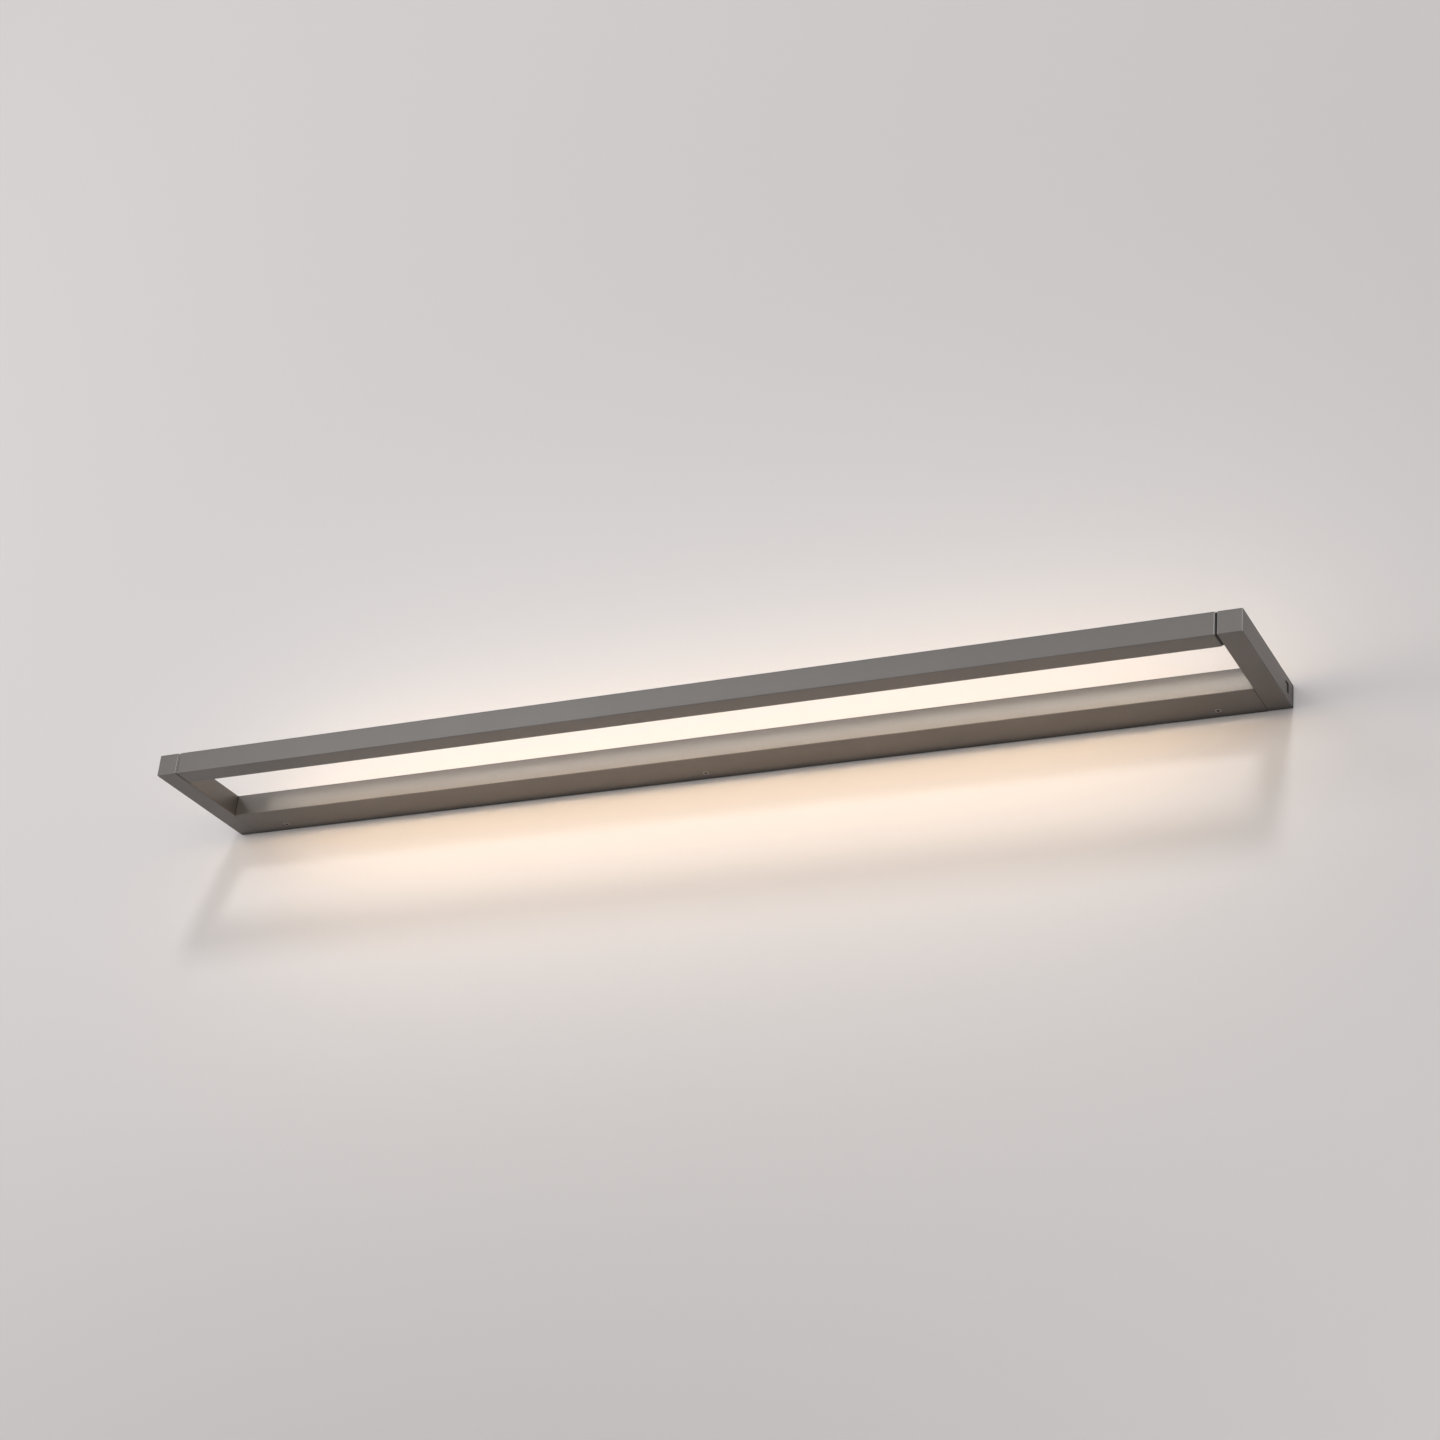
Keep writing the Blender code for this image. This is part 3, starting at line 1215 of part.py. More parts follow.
def clear_scene():
    for item in list(bpy.data.objects):
        bpy.data.objects.remove(item, do_unlink=True)


def build():
    clear_scene()
    paint = finish("taupe powder coat", (0.165, 0.153, 0.146), 0.45, 0.4)
    mill_aluminium = finish("mill aluminium", (0.62, 0.63, 0.64), 0.38, 1.0)
    steel = finish("zinc plated steel", (0.55, 0.55, 0.54), 0.32, 1.0)
    black_steel = finish("blackened steel", (0.045, 0.044, 0.042), 0.42, 0.8)
    bronze = finish("bronze", (0.52, 0.34, 0.16), 0.35, 1.0)
    brass = finish("tinned brass", (0.66, 0.62, 0.50), 0.35, 1.0)
    rubber = finish("black rubber", (0.03, 0.03, 0.03), 0.75)
    opal = finish("opal acrylic", (0.92, 0.90, 0.86), 0.35)
    white_plastic = finish("white plastic", (0.80, 0.80, 0.78), 0.45)
    board_white = finish("white circuit board", (0.85, 0.85, 0.83), 0.4)
    sheath = finish("clear grey sheath", (0.55, 0.54, 0.52), 0.5)
    brown = finish("brown insulation", (0.16, 0.06, 0.025), 0.5)
    blue = finish("blue insulation", (0.03, 0.12, 0.45), 0.5)
    green = finish("green insulation", (0.16, 0.42, 0.06), 0.5)

    make_wall_bracket(mill_aluminium)
    make_cable_grommet(rubber)
    make_back_housing(paint)
    make_housing_screws(paint)
    for side, word in SIDES:
        make_arm(side, word, paint)
        make_corner_block(side, word, mill_aluminium)
        make_screw_cover(side, word, paint)
        make_arm_fasteners(side, word, steel)
        make_pivot_pin(side, word, steel)
        make_pin_lock_screw(side, word, black_steel)
    make_driver(white_plastic)
    make_terminal_block(white_plastic)
    make_gear_screws(steel)
    make_mains_leads(brown, blue, green)
    make_earth_tag(brass, steel)
    make_driver_lead(sheath)
    make_lead_collar(rubber)

    pivot = bpy.data.objects.new("light_bar_pivot", None)
    pivot.location = (0, PIVOT_Y, 0)
    bpy.context.collection.objects.link(pivot)
    make_bar_housing(paint, pivot)
    for side, word in SIDES:
        make_end_plug(side, word, mill_aluminium, pivot)
        make_bush(side, word, bronze, pivot)
        make_friction_ring(side, word, rubber, pivot)
        make_end_plug_screws(side, word, steel, pivot)
        make_led_board(side, word, board_white, pivot)
    make_board_link(white_plastic, pivot)
    make_diffuser(opal, pivot)
    make_bar_lead(sheath, pivot)


build()
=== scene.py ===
"""The looks of a slim wall light with a turning light bar, in the order in which it is put together."""

from math import cos, inf, pi, radians, sin

import bmesh
import bpy
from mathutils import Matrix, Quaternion, Vector


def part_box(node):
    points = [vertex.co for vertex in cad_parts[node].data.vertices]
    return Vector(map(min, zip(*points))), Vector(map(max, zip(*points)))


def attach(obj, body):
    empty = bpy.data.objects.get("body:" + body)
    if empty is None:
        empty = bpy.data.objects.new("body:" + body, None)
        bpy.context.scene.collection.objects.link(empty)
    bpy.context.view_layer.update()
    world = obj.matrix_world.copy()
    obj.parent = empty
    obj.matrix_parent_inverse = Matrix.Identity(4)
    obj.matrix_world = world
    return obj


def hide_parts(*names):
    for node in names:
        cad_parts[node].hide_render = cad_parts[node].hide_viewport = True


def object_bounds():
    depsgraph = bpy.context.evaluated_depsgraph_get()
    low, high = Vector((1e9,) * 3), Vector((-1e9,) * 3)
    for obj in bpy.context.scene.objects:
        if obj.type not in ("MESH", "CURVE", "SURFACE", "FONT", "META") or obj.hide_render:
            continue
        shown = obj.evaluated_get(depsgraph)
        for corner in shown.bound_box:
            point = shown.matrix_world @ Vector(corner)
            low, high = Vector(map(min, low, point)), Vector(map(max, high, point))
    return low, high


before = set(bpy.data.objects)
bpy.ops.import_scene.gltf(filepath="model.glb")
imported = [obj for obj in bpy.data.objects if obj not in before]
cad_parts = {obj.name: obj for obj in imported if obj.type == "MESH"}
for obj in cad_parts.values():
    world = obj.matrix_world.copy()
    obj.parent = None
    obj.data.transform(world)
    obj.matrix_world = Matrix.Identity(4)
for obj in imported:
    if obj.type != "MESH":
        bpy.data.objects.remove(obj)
cad_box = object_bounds()
scene = bpy.context.scene
scene.view_settings.view_transform = "Standard"

# The camera
# It stands where the photo was taken from, right of the light and well below it, with a long lens turned a
# few degrees about its axis. Its numbers come from fitting a camera to the corners of the light there.
CAMERA_PLACE = Vector((1.30349, -2.37744, -1.25466))
CAMERA_AIM = Vector((-0.00905, 0, 0.05489))
CAMERA_ROLL = radians(6.0608)
CAMERA_LENS = 72.604
CAMERA_SENSOR = 36.0

camera = bpy.data.objects.new("camera", bpy.data.cameras.new("camera"))
camera.data.lens = CAMERA_LENS
camera.data.sensor_width = CAMERA_SENSOR
camera.location = CAMERA_PLACE
camera.rotation_mode = "QUATERNION"
level = (CAMERA_AIM - CAMERA_PLACE).to_track_quat("-Z", "Y")
camera.rotation_quaternion = level @ Quaternion((0, 0, 1), CAMERA_ROLL)
scene.collection.objects.link(camera)
scene.camera = camera

# The wall, the floor and the studio
# A matt wall and a pale floor, which show only their front. The wall is open behind the light, so that its
# back can be seen. The floor throws up less light than it shows, which keeps the undersides dark.
WALL_COLOUR = (0.80, 0.765, 0.752)
WALL_SIZE = (14.0, 9.0)
WALL_GAP = 0.0005
WALL_OPENING_INSET = 0.0015
FLOOR_COLOUR = (0.78, 0.76, 0.75)
FLOOR_BOUNCE_COLOUR = (0.10, 0.097, 0.095)
FLOOR_HEIGHT = -2.2
FLOOR_DEPTH = 9.0
STUDIO_COLOUR = (0.985, 0.99, 1.0)
STUDIO_STRENGTH = 0.575
LIGHT_PLACE = (0, 0, 0)
LOW_BOX_SPREAD = radians(50)


def new_object(name, mesh):
    """Puts a mesh in the scene at the origin."""
    item = bpy.data.objects.new(name, mesh)
    scene.collection.objects.link(item)
    return item


def new_material(name):
    """An empty material, its nodes, its links and its output."""
    material = bpy.data.materials.new(name)
    material.use_nodes = True
    nodes = material.node_tree.nodes
    nodes.clear()
    return material, nodes, material.node_tree.links, nodes.new("ShaderNodeOutputMaterial")


def one_sided(name, colour, bounce_colour):
    """A matt stage paint that shows only its front, with the colour in which it lights other things."""
    material, nodes, links, output = new_material(name)
    rays = nodes.new("ShaderNodeLightPath")
    either = nodes.new("ShaderNodeMath")
    either.operation = "MAXIMUM"
    links.new(rays.outputs["Is Camera Ray"], either.inputs[0])
    links.new(rays.outputs["Is Glossy Ray"], either.inputs[1])
    seen = nodes.new("ShaderNodeMath")
    seen.operation = "MAXIMUM"
    links.new(either.outputs["Value"], seen.inputs[0])
    links.new(rays.outputs["Is Transmission Ray"], seen.inputs[1])
    matt = nodes.new("ShaderNodeMixShader")
    links.new(seen.outputs["Value"], matt.inputs["Fac"])
    for socket, paint in ((1, bounce_colour), (2, colour)):
        diffuse = nodes.new("ShaderNodeBsdfDiffuse")
        diffuse.inputs["Color"].default_value = (*paint, 1)
        links.new(diffuse.outputs["BSDF"], matt.inputs[socket])
    clear = nodes.new("ShaderNodeBsdfTransparent")
    sides = nodes.new("ShaderNodeNewGeometry")
    mix = nodes.new("ShaderNodeMixShader")
    links.new(sides.outputs["Backfacing"], mix.inputs["Fac"])
    links.new(matt.outputs["Shader"], mix.inputs[1])
    links.new(clear.outputs["BSDF"], mix.inputs[2])
    links.new(mix.outputs["Shader"], output.inputs["Surface"])
    return material


wide, tall = WALL_SIZE[0] / 2, WALL_SIZE[1] / 2
x_low, x_high = cad_box[0].x + WALL_OPENING_INSET, cad_box[1].x - WALL_OPENING_INSET
z_low, z_high = cad_box[0].z + WALL_OPENING_INSET, cad_box[1].z - WALL_OPENING_INSET
border = [(-wide, -tall), (wide, -tall), (wide, tall), (-wide, tall)]
opening = [(x_low, z_low), (x_high, z_low), (x_high, z_high), (x_low, z_high)]
strips = [(i, (i + 1) % 4, (i + 1) % 4 + 4, i + 4) for i in range(4)]
wall_mesh = bpy.data.meshes.new("wall")
wall_mesh.from_pydata([(x, WALL_GAP, z) for x, z in border + opening], [], strips)
wall_mesh.materials.append(one_sided("wall_paint", WALL_COLOUR, WALL_COLOUR))
new_object("wall", wall_mesh)

ground = [(-wide, -FLOOR_DEPTH), (wide, -FLOOR_DEPTH), (wide, 0), (-wide, 0)]
floor_mesh = bpy.data.meshes.new("floor")
floor_mesh.from_pydata([(x, y, FLOOR_HEIGHT) for x, y in ground], [], [(0, 1, 2, 3)])
floor_mesh.materials.append(one_sided("floor_paint", FLOOR_COLOUR, FLOOR_BOUNCE_COLOUR))
new_object("floor", floor_mesh)

world = bpy.data.worlds.new("studio")
scene.world = world
world.use_nodes = True
world.node_tree.nodes.clear()
air = world.node_tree.nodes.new("ShaderNodeBackground")
air.inputs["Color"].default_value = (*STUDIO_COLOUR, 1)
air.inputs["Strength"].default_value = STUDIO_STRENGTH
sky = world.node_tree.nodes.new("ShaderNodeOutputWorld")
world.node_tree.links.new(air.outputs["Background"], sky.inputs["Surface"])


def soft_lamp(name, place, aim, size, power, colour=STUDIO_COLOUR, spread=pi):
    """A soft box that points at a place, with a grid on it if its light spreads less."""
    lamp = bpy.data.objects.new(name, bpy.data.lights.new(name, "AREA"))
    lamp.data.shape = "RECTANGLE"
    lamp.data.size, lamp.data.size_y = size
    lamp.data.energy = power
    lamp.data.color = colour
    lamp.data.spread = spread
    lamp.location = place
    lamp.rotation_mode = "QUATERNION"
    lamp.rotation_quaternion = (Vector(aim) - Vector(place)).to_track_quat("-Z", "Y")
    lamp.visible_camera = False
    scene.collection.objects.link(lamp)
    return lamp


soft_lamp("key_soft_box", place=(1.05, -5.2, 4.5), aim=LIGHT_PLACE, size=(0.95, 0.95), power=110)
soft_lamp("left_soft_box", place=(-2.2, -1.6, 0), aim=(-0.9, 0, 0), size=(0.8, 0.8), power=12)
soft_lamp(
    "low_soft_box",
    place=(1.9, -2.2, -1.9),
    aim=(1.25, 0, -1.05),
    size=(0.8, 0.8),
    power=1.8,
    spread=LOW_BOX_SPREAD,
)
soft_lamp("high_left_soft_box", place=(-3.0, -4.5, 2.6), aim=LIGHT_PLACE, size=(1.0, 1.0), power=20)
soft_lamp("room_glow", place=(0, -0.42, 0), aim=LIGHT_PLACE, size=(1.3, 0.30), power=0.75)

# The painted shells
# Back bar, arms and light bar are aluminium in one matt taupe powder coat with a fine grain. Its colour
# is made paler on sharp edges as a painted highlight, most on the upright ones, where the lengths were cut
# off, and darker near the wall and in narrow gaps as painted shade.
COAT_COLOUR = (0.148, 0.139, 0.132)
COAT_METALLIC = 0.8
COAT_ROUGHNESS = 0.42
COAT_GRAIN = 0.0007
COAT_RELIEF = 0.00002
COAT_VARIATION = 0.10
FINE_GRAIN_SHARE = 0.6
DRIFT_SCALE = 9
TONE_SWING = 2
GRAIN_GLOSS_SWING = -1.5
CORNER_REACH = 0.012
CORNER_SHADE = 0.15
CORNER_OPEN_SHARE = 0.35
OPEN_MIDDLE = -0.089
OPEN_REACH = 0.0413
EDGE_REACH = 0.0009
EDGE_LEAN_START = 0.99
EDGE_LEAN_END = 0.80
EDGE_HIGHLIGHT = 1.6
UPRIGHT_HIGHLIGHT = 1.5
JOINT_FILL = 0.00028
JOINT_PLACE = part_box("back_housing")[1].x
JOINT_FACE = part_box("back_housing")[0].y
JOINT_MARGIN = 0.0005
JOINT_WIDTH = 0.0015
WELD = 0.00001
SMOOTH_ANGLE = radians(35)


def new_group(name, inputs, outputs):
    """A shader node group with named sockets, given as (name, type, start value)."""
    tree = bpy.data.node_groups.new(name, "ShaderNodeTree")
    for socket, kind, value in inputs:
        made = tree.interface.new_socket(socket, in_out="INPUT", socket_type=kind)
        made.default_value = value
    for socket, kind in outputs:
        tree.interface.new_socket(socket, in_out="OUTPUT", socket_type=kind)
    return tree, tree.nodes.new("NodeGroupInput"), tree.nodes.new("NodeGroupOutput")


def calculated(tree, operation, *values):
    """A Math node; each value is a number or the output that feeds it."""
    node = tree.nodes.new("ShaderNodeMath")
    node.operation = operation
    for socket, value in zip(node.inputs, values):
        if isinstance(value, (int, float)):
            socket.default_value = value
        else:
            tree.links.new(value, socket)
    return node.outputs[0]


def scaled_colour(tree, colour, factor):
    """A colour made paler or darker by a factor."""
    node = tree.nodes.new("ShaderNodeVectorMath")
    node.operation = "SCALE"
    tree.links.new(colour, node.inputs[0])
    tree.links.new(factor, node.inputs["Scale"])
    return node.outputs["Vector"]


def noise(tree, place, scale, detail):
    """Soft noise from 0 to 1 at a place; its scale is a number or the output that feeds it."""
    node = tree.nodes.new("ShaderNodeTexNoise")
    node.inputs["Detail"].default_value = detail
    tree.links.new(place, node.inputs["Vector"])
    if isinstance(scale, (int, float)):
        node.inputs["Scale"].default_value = scale
    else:
        tree.links.new(scale, node.inputs["Scale"])
    return node.outputs["Fac"]


def object_place(tree):
    """The place on the piece, in Object coordinates, as X, Y and Z."""
    place = tree.nodes.new("ShaderNodeSeparateXYZ")
    tree.links.new(tree.nodes.new("ShaderNodeTexCoord").outputs["Object"], place.inputs["Vector"])
    return place.outputs


def swung_tone(tree, given, result, fine, slow, fine_share, gloss_swing):
    """Lets a fine pattern and a slow one together swing the colour and the roughness of a group."""
    fine_part = calculated(tree, "MULTIPLY", fine, fine_share)
    both = calculated(tree, "ADD", fine_part, calculated(tree, "MULTIPLY", slow, 1 - fine_share))
    swing = calculated(tree, "MULTIPLY", calculated(tree, "SUBTRACT", both, 0.5), given.outputs["Variation"])
    tone = calculated(tree, "ADD", calculated(tree, "MULTIPLY", swing, TONE_SWING), 1)
    gloss = calculated(tree, "MULTIPLY", swing, gloss_swing)
    tree.links.new(scaled_colour(tree, given.outputs["Colour"], tone), result.inputs["Colour"])
    tree.links.new(calculated(tree, "ADD", given.outputs["Roughness"], gloss), result.inputs["Roughness"])
    tree.links.new(fine, result.inputs["Height"])


def surface_grain():
    """Grain of one size all over, with a slow drift of tone: for paint, plastic and rubber."""
    tree, given, result = new_group(
        "surface_grain",
        [
            ("Colour", "NodeSocketColor", (1, 1, 1, 1)),
            ("Roughness", "NodeSocketFloat", 0.5),
            ("Grain Size", "NodeSocketFloat", 0.001),
            ("Variation", "NodeSocketFloat", 0.1),
        ],
        [("Colour", "NodeSocketColor"), ("Roughness", "NodeSocketFloat"), ("Height", "NodeSocketFloat")],
    )
    place = tree.nodes.new("ShaderNodeTexCoord").outputs["Object"]
    fine = noise(tree, place, calculated(tree, "DIVIDE", 1, given.outputs["Grain Size"]), detail=3)
    drift = noise(tree, place, DRIFT_SCALE, detail=2)
    swung_tone(tree, given, result, fine, drift, FINE_GRAIN_SHARE, GRAIN_GLOSS_SWING)
    return tree


def edge_mask():
    """1 on a sharp outer edge and 0 on a flat, from how far the softened normal leans from the true one.

    Upright is 1 only on the edges that stand upright, where the softened normal lies between X and Y.
    """
    tree, given, result = new_group(
        "edge_mask",
        [("Reach", "NodeSocketFloat", 0.0005)],
        [("Mask", "NodeSocketFloat"), ("Upright", "NodeSocketFloat"), ("Normal", "NodeSocketVector")],
    )
    soft = tree.nodes.new("ShaderNodeBevel")
    soft.samples = 4
    tree.links.new(given.outputs["Reach"], soft.inputs["Radius"])
    sharp = tree.nodes.new("ShaderNodeNewGeometry")
    lean = tree.nodes.new("ShaderNodeVectorMath")
    lean.operation = "DOT_PRODUCT"
    tree.links.new(soft.outputs["Normal"], lean.inputs[0])
    tree.links.new(sharp.outputs["Normal"], lean.inputs[1])
    ramp = tree.nodes.new("ShaderNodeMapRange")
    ramp.inputs["From Min"].default_value = EDGE_LEAN_START
    ramp.inputs["From Max"].default_value = EDGE_LEAN_END
    tree.links.new(lean.outputs["Value"], ramp.inputs["Value"])
    tree.links.new(ramp.outputs["Result"], result.inputs["Mask"])
    parts = tree.nodes.new("ShaderNodeSeparateXYZ")
    tree.links.new(soft.outputs["Normal"], parts.inputs["Vector"])
    between = calculated(tree, "MULTIPLY", parts.outputs["X"], parts.outputs["Y"])
    upright = calculated(tree, "MULTIPLY", calculated(tree, "ABSOLUTE", between), 2)
    tree.links.new(upright, result.inputs["Upright"])
    tree.links.new(soft.outputs["Normal"], result.inputs["Normal"])
    return tree


grain_group = surface_grain()
edge_group = edge_mask()


def placed_group(nodes, group, values):
    """A node group in a material, with its own values."""
    node = nodes.new("ShaderNodeGroup")
    node.node_tree = group
    for socket, value in values.items():
        node.inputs[socket].default_value = value
    return node


def principled(nodes, links, output, **values):
    """The material's own shader, with the values that are the same all over."""
    shader = nodes.new("ShaderNodeBsdfPrincipled")
    for socket, value in values.items():
        shader.inputs[socket.replace("_", " ")].default_value = value
    links.new(shader.outputs["BSDF"], output.inputs["Surface"])
    return shader


def relief(nodes, links, shader, height, depth):
    """Turns a height into the small relief of a real depth, in metres."""
    bump = nodes.new("ShaderNodeBump")
    bump.inputs["Distance"].default_value = depth
    links.new(height, bump.inputs["Height"])
    links.new(bump.outputs["Normal"], shader.inputs["Normal"])
    return bump


def reach_beside_joints(tree):
    """How far the coat is softened at its edges, which is not at all at the flush joints behind the arms."""
    place = object_place(tree)
    beside = calculated(tree, "SUBTRACT", calculated(tree, "ABSOLUTE", place["X"]), JOINT_PLACE)
    near = calculated(tree, "LESS_THAN", calculated(tree, "ABSOLUTE", beside), JOINT_WIDTH)
    behind = calculated(tree, "GREATER_THAN", place["Y"], JOINT_FACE + JOINT_MARGIN)
    elsewhere = calculated(tree, "SUBTRACT", 1, calculated(tree, "MULTIPLY", near, behind))
    return calculated(tree, "MULTIPLY", elsewhere, EDGE_REACH)


def corner_shade(tree):
    """Painted shade: darker close to the wall and in the narrow gaps, even on the open sides between the two
    bars.
    """
    near = tree.nodes.new("ShaderNodeAmbientOcclusion")
    near.samples = 8
    near.inputs["Distance"].default_value = CORNER_REACH
    ramp = tree.nodes.new("ShaderNodeMapRange")
    ramp.inputs["From Min"].default_value = CORNER_OPEN_SHARE
    ramp.inputs["To Min"].default_value = CORNER_SHADE
    tree.links.new(near.outputs["AO"], ramp.inputs["Value"])
    off_middle = calculated(
        tree, "ABSOLUTE", calculated(tree, "SUBTRACT", object_place(tree)["Y"], OPEN_MIDDLE)
    )
    open_side = calculated(tree, "LESS_THAN", off_middle, OPEN_REACH)
    return calculated(tree, "MAXIMUM", ramp.outputs["Result"], open_side)


def powder_coat(name, colour, bare=None):
    """The coat in a colour, with its grain, painted highlights on edges, and painted shade in corners and
    bare places.
    """
    material, nodes, links, output = new_material(name)
    tree = material.node_tree
    shader = principled(nodes, links, output, Metallic=COAT_METALLIC)
    grain = placed_group(
        nodes,
        grain_group,
        {
            "Colour": (*colour, 1),
            "Roughness": COAT_ROUGHNESS,
            "Grain Size": COAT_GRAIN,
            "Variation": COAT_VARIATION,
        },
    )
    edge = placed_group(nodes, edge_group, {"Reach": EDGE_REACH})
    links.new(reach_beside_joints(tree), edge.inputs["Reach"])
    # Painted highlight: the colour is made paler on the edges, most on the upright ones.
    edge_highlight = calculated(tree, "MULTIPLY", edge.outputs["Mask"], EDGE_HIGHLIGHT - 1)
    upright_highlight = calculated(tree, "MULTIPLY", edge.outputs["Upright"], UPRIGHT_HIGHLIGHT)
    paler = calculated(tree, "ADD", 1, calculated(tree, "ADD", edge_highlight, upright_highlight))
    # Painted shade in corners, close to the wall and in the narrow gaps.
    tone = calculated(tree, "MULTIPLY", paler, corner_shade(tree))
    # For the screws, the socket is darker: bare steel, and painted shade in it.
    if bare:
        tone = calculated(tree, "MULTIPLY", tone, bare(tree))
    links.new(scaled_colour(tree, grain.outputs["Colour"], tone), shader.inputs["Base Color"])
    links.new(grain.outputs["Roughness"], shader.inputs["Roughness"])
    bump = relief(nodes, links, shader, grain.outputs["Height"], COAT_RELIEF)
    links.new(edge.outputs["Normal"], bump.inputs["Normal"])
    return material


def joined_copy(node):
    """A copy of a CAD node's loose triangles, joined up, smooth round its curves and true on its flats."""
    shape = bmesh.new()
    shape.from_mesh(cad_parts[node].data)
    bmesh.ops.remove_doubles(shape, verts=shape.verts, dist=WELD)
    for face in shape.faces:
        face.smooth = True
    for edge in shape.edges:
        edge.smooth = len(edge.link_faces) == 2 and edge.calc_face_angle() < SMOOTH_ANGLE
    mesh = bpy.data.meshes.new(node)
    shape.to_mesh(mesh)
    shape.free()
    worker = new_object(node + "_worker", mesh)
    weighted = worker.modifiers.new("true_flats", "WEIGHTED_NORMAL")
    weighted.keep_sharp = True
    done = bpy.data.meshes.new_from_object(worker.evaluated_get(bpy.context.evaluated_depsgraph_get()))
    bpy.data.objects.remove(worker)
    bpy.data.meshes.remove(mesh)
    return done


def finished(name, mesh, material, body, slot, *nodes):
    """A piece that rides on its body, stands for its CAD nodes and has a material; its slot is not used."""
    mesh.name = name
    mesh.materials.clear()
    mesh.materials.append(material)
    piece = new_object(name, mesh)
    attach(piece, body)
    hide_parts(*nodes)
    return piece


coat = powder_coat("taupe_powder_coat", COAT_COLOUR)
for node, body in (("left_arm", "frame"), ("right_arm", "frame"), ("bar_housing", "light_bar")):
    finished(node + "_coated", joined_copy(node), coat, body, "taupe_powder_coat", node)
mesh = joined_copy("back_housing")
housing_low, housing_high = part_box("back_housing")
for vertex in mesh.vertices:
    if abs(vertex.co.x) > housing_high.x - WELD and vertex.co.z < housing_low.z + WELD:
        vertex.co.x *= 1 + JOINT_FILL / housing_high.x
finished("back_housing_coated", mesh, coat, "frame", "taupe_powder_coat", "back_housing")

# The screws
# Countersunk socket screws, painted with the light, clamp the back bar on its bracket. Inside, zinc plated
# socket screws hold the arms, pan heads most other things, and black grub screws the pivot pins.
SIDES = {"left": -1, "right": 1}
UP = (0, 0, 1)
FORWARD = (0, -1, 0)
HOUSING_SCREW = {"head_height": 0.0021, "neck_share": 0.49, "shank_radius": 0.002, "socket_radius": 0.0019}
CAP_SCREW = {"head_height": 0.005, "neck_share": 1, "shank_radius": 0.0025, "socket_radius": 0.0023}
PLUG_SCREW = {"head_height": 0.0015, "neck_share": 1, "shank_radius": 0.00065, "socket_radius": 0.0009}
PAN_SCREW = {"head_height": 0.0022, "neck_share": 1, "shank_radius": 0.0013, "socket_radius": 0.0013}
GRUB_SCREW = {"head_height": 0.0020, "neck_share": 1, "shank_radius": 0.0014, "socket_radius": 0.0009}
SCREW_SEGMENTS = 40
RIM_SHARE = 0.12
TIP_LENGTH_SHARE = 0.5
TIP_START_SHARE = 0.98
TIP_END_SHARE = 0.55
SOCKET_DEPTH_SHARE = 0.6
SCREW_COAT_COLOUR = (0.30, 0.28, 0.262)
HEAD_GAP = 0.0005
HEAD_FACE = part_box("middle_housing_screw")[0].z
PAINT_REACH = 0.0002
SOCKET_SHADE = 0.12
ZINC_COLOUR = (0.60, 0.59, 0.57)
BLACK_STEEL_COLOUR = (0.045, 0.044, 0.042)
EVEN = (1, 1, 1)
LINES_SHARE = 0.65
CLOUD_SCALE = 60
LINES_GLOSS_SWING = 2


def metal_lines():
    """Fine parallel lines in a metal, longer along one axis, as drawing or turning leaves them."""
    tree, given, result = new_group(
        "metal_lines",
        [
            ("Colour", "NodeSocketColor", (1, 1, 1, 1)),
            ("Roughness", "NodeSocketFloat", 0.4),
            ("Line Width", "NodeSocketFloat", 0.0003),
            ("Run", "NodeSocketVector", (0.02, 1, 1)),
            ("Variation", "NodeSocketFloat", 0.15),
        ],
        [("Colour", "NodeSocketColor"), ("Roughness", "NodeSocketFloat"), ("Height", "NodeSocketFloat")],
    )
    place = tree.nodes.new("ShaderNodeTexCoord").outputs["Object"]
    stretched = tree.nodes.new("ShaderNodeVectorMath")
    stretched.operation = "MULTIPLY"
    tree.links.new(place, stretched.inputs[0])
    tree.links.new(given.outputs["Run"], stretched.inputs[1])
    scale = calculated(tree, "DIVIDE", 1, given.outputs["Line Width"])
    lines = noise(tree, stretched.outputs["Vector"], scale, detail=2)
    clouds = noise(tree, place, CLOUD_SCALE, detail=2)
    swung_tone(tree, given, result, lines, clouds, LINES_SHARE, LINES_GLOSS_SWING)
    return tree


lines_group = metal_lines()


def worked_metal(name, colour, roughness, line_width, run, depth, variation=0.15):
    """A bare metal with the lines that its making leaves."""
    material, nodes, links, output = new_material(name)
    shader = principled(nodes, links, output, Metallic=1.0)
    lines = placed_group(
        nodes,
        lines_group,
        {
            "Colour": (*colour, 1),
            "Roughness": roughness,
            "Line Width": line_width,
            "Run": run,
            "Variation": variation,
        },
    )
    links.new(lines.outputs["Colour"], shader.inputs["Base Color"])
    links.new(lines.outputs["Roughness"], shader.inputs["Roughness"])
    relief(nodes, links, shader, lines.outputs["Height"], depth)
    return material


def new_geometry_tree(name, inputs):
    """A Geometry Nodes tree with the places of its copies as geometry, and named sizes."""
    tree = bpy.data.node_groups.new(name, "GeometryNodeTree")
    tree.interface.new_socket("Places", in_out="INPUT", socket_type="NodeSocketGeometry")
    for socket, kind, value in inputs:
        made = tree.interface.new_socket(socket, in_out="INPUT", socket_type=kind)
        if value is not None:
            made.default_value = value
    tree.interface.new_socket("Copies", in_out="OUTPUT", socket_type="NodeSocketGeometry")
    return tree, tree.nodes.new("NodeGroupInput"), tree.nodes.new("NodeGroupOutput")


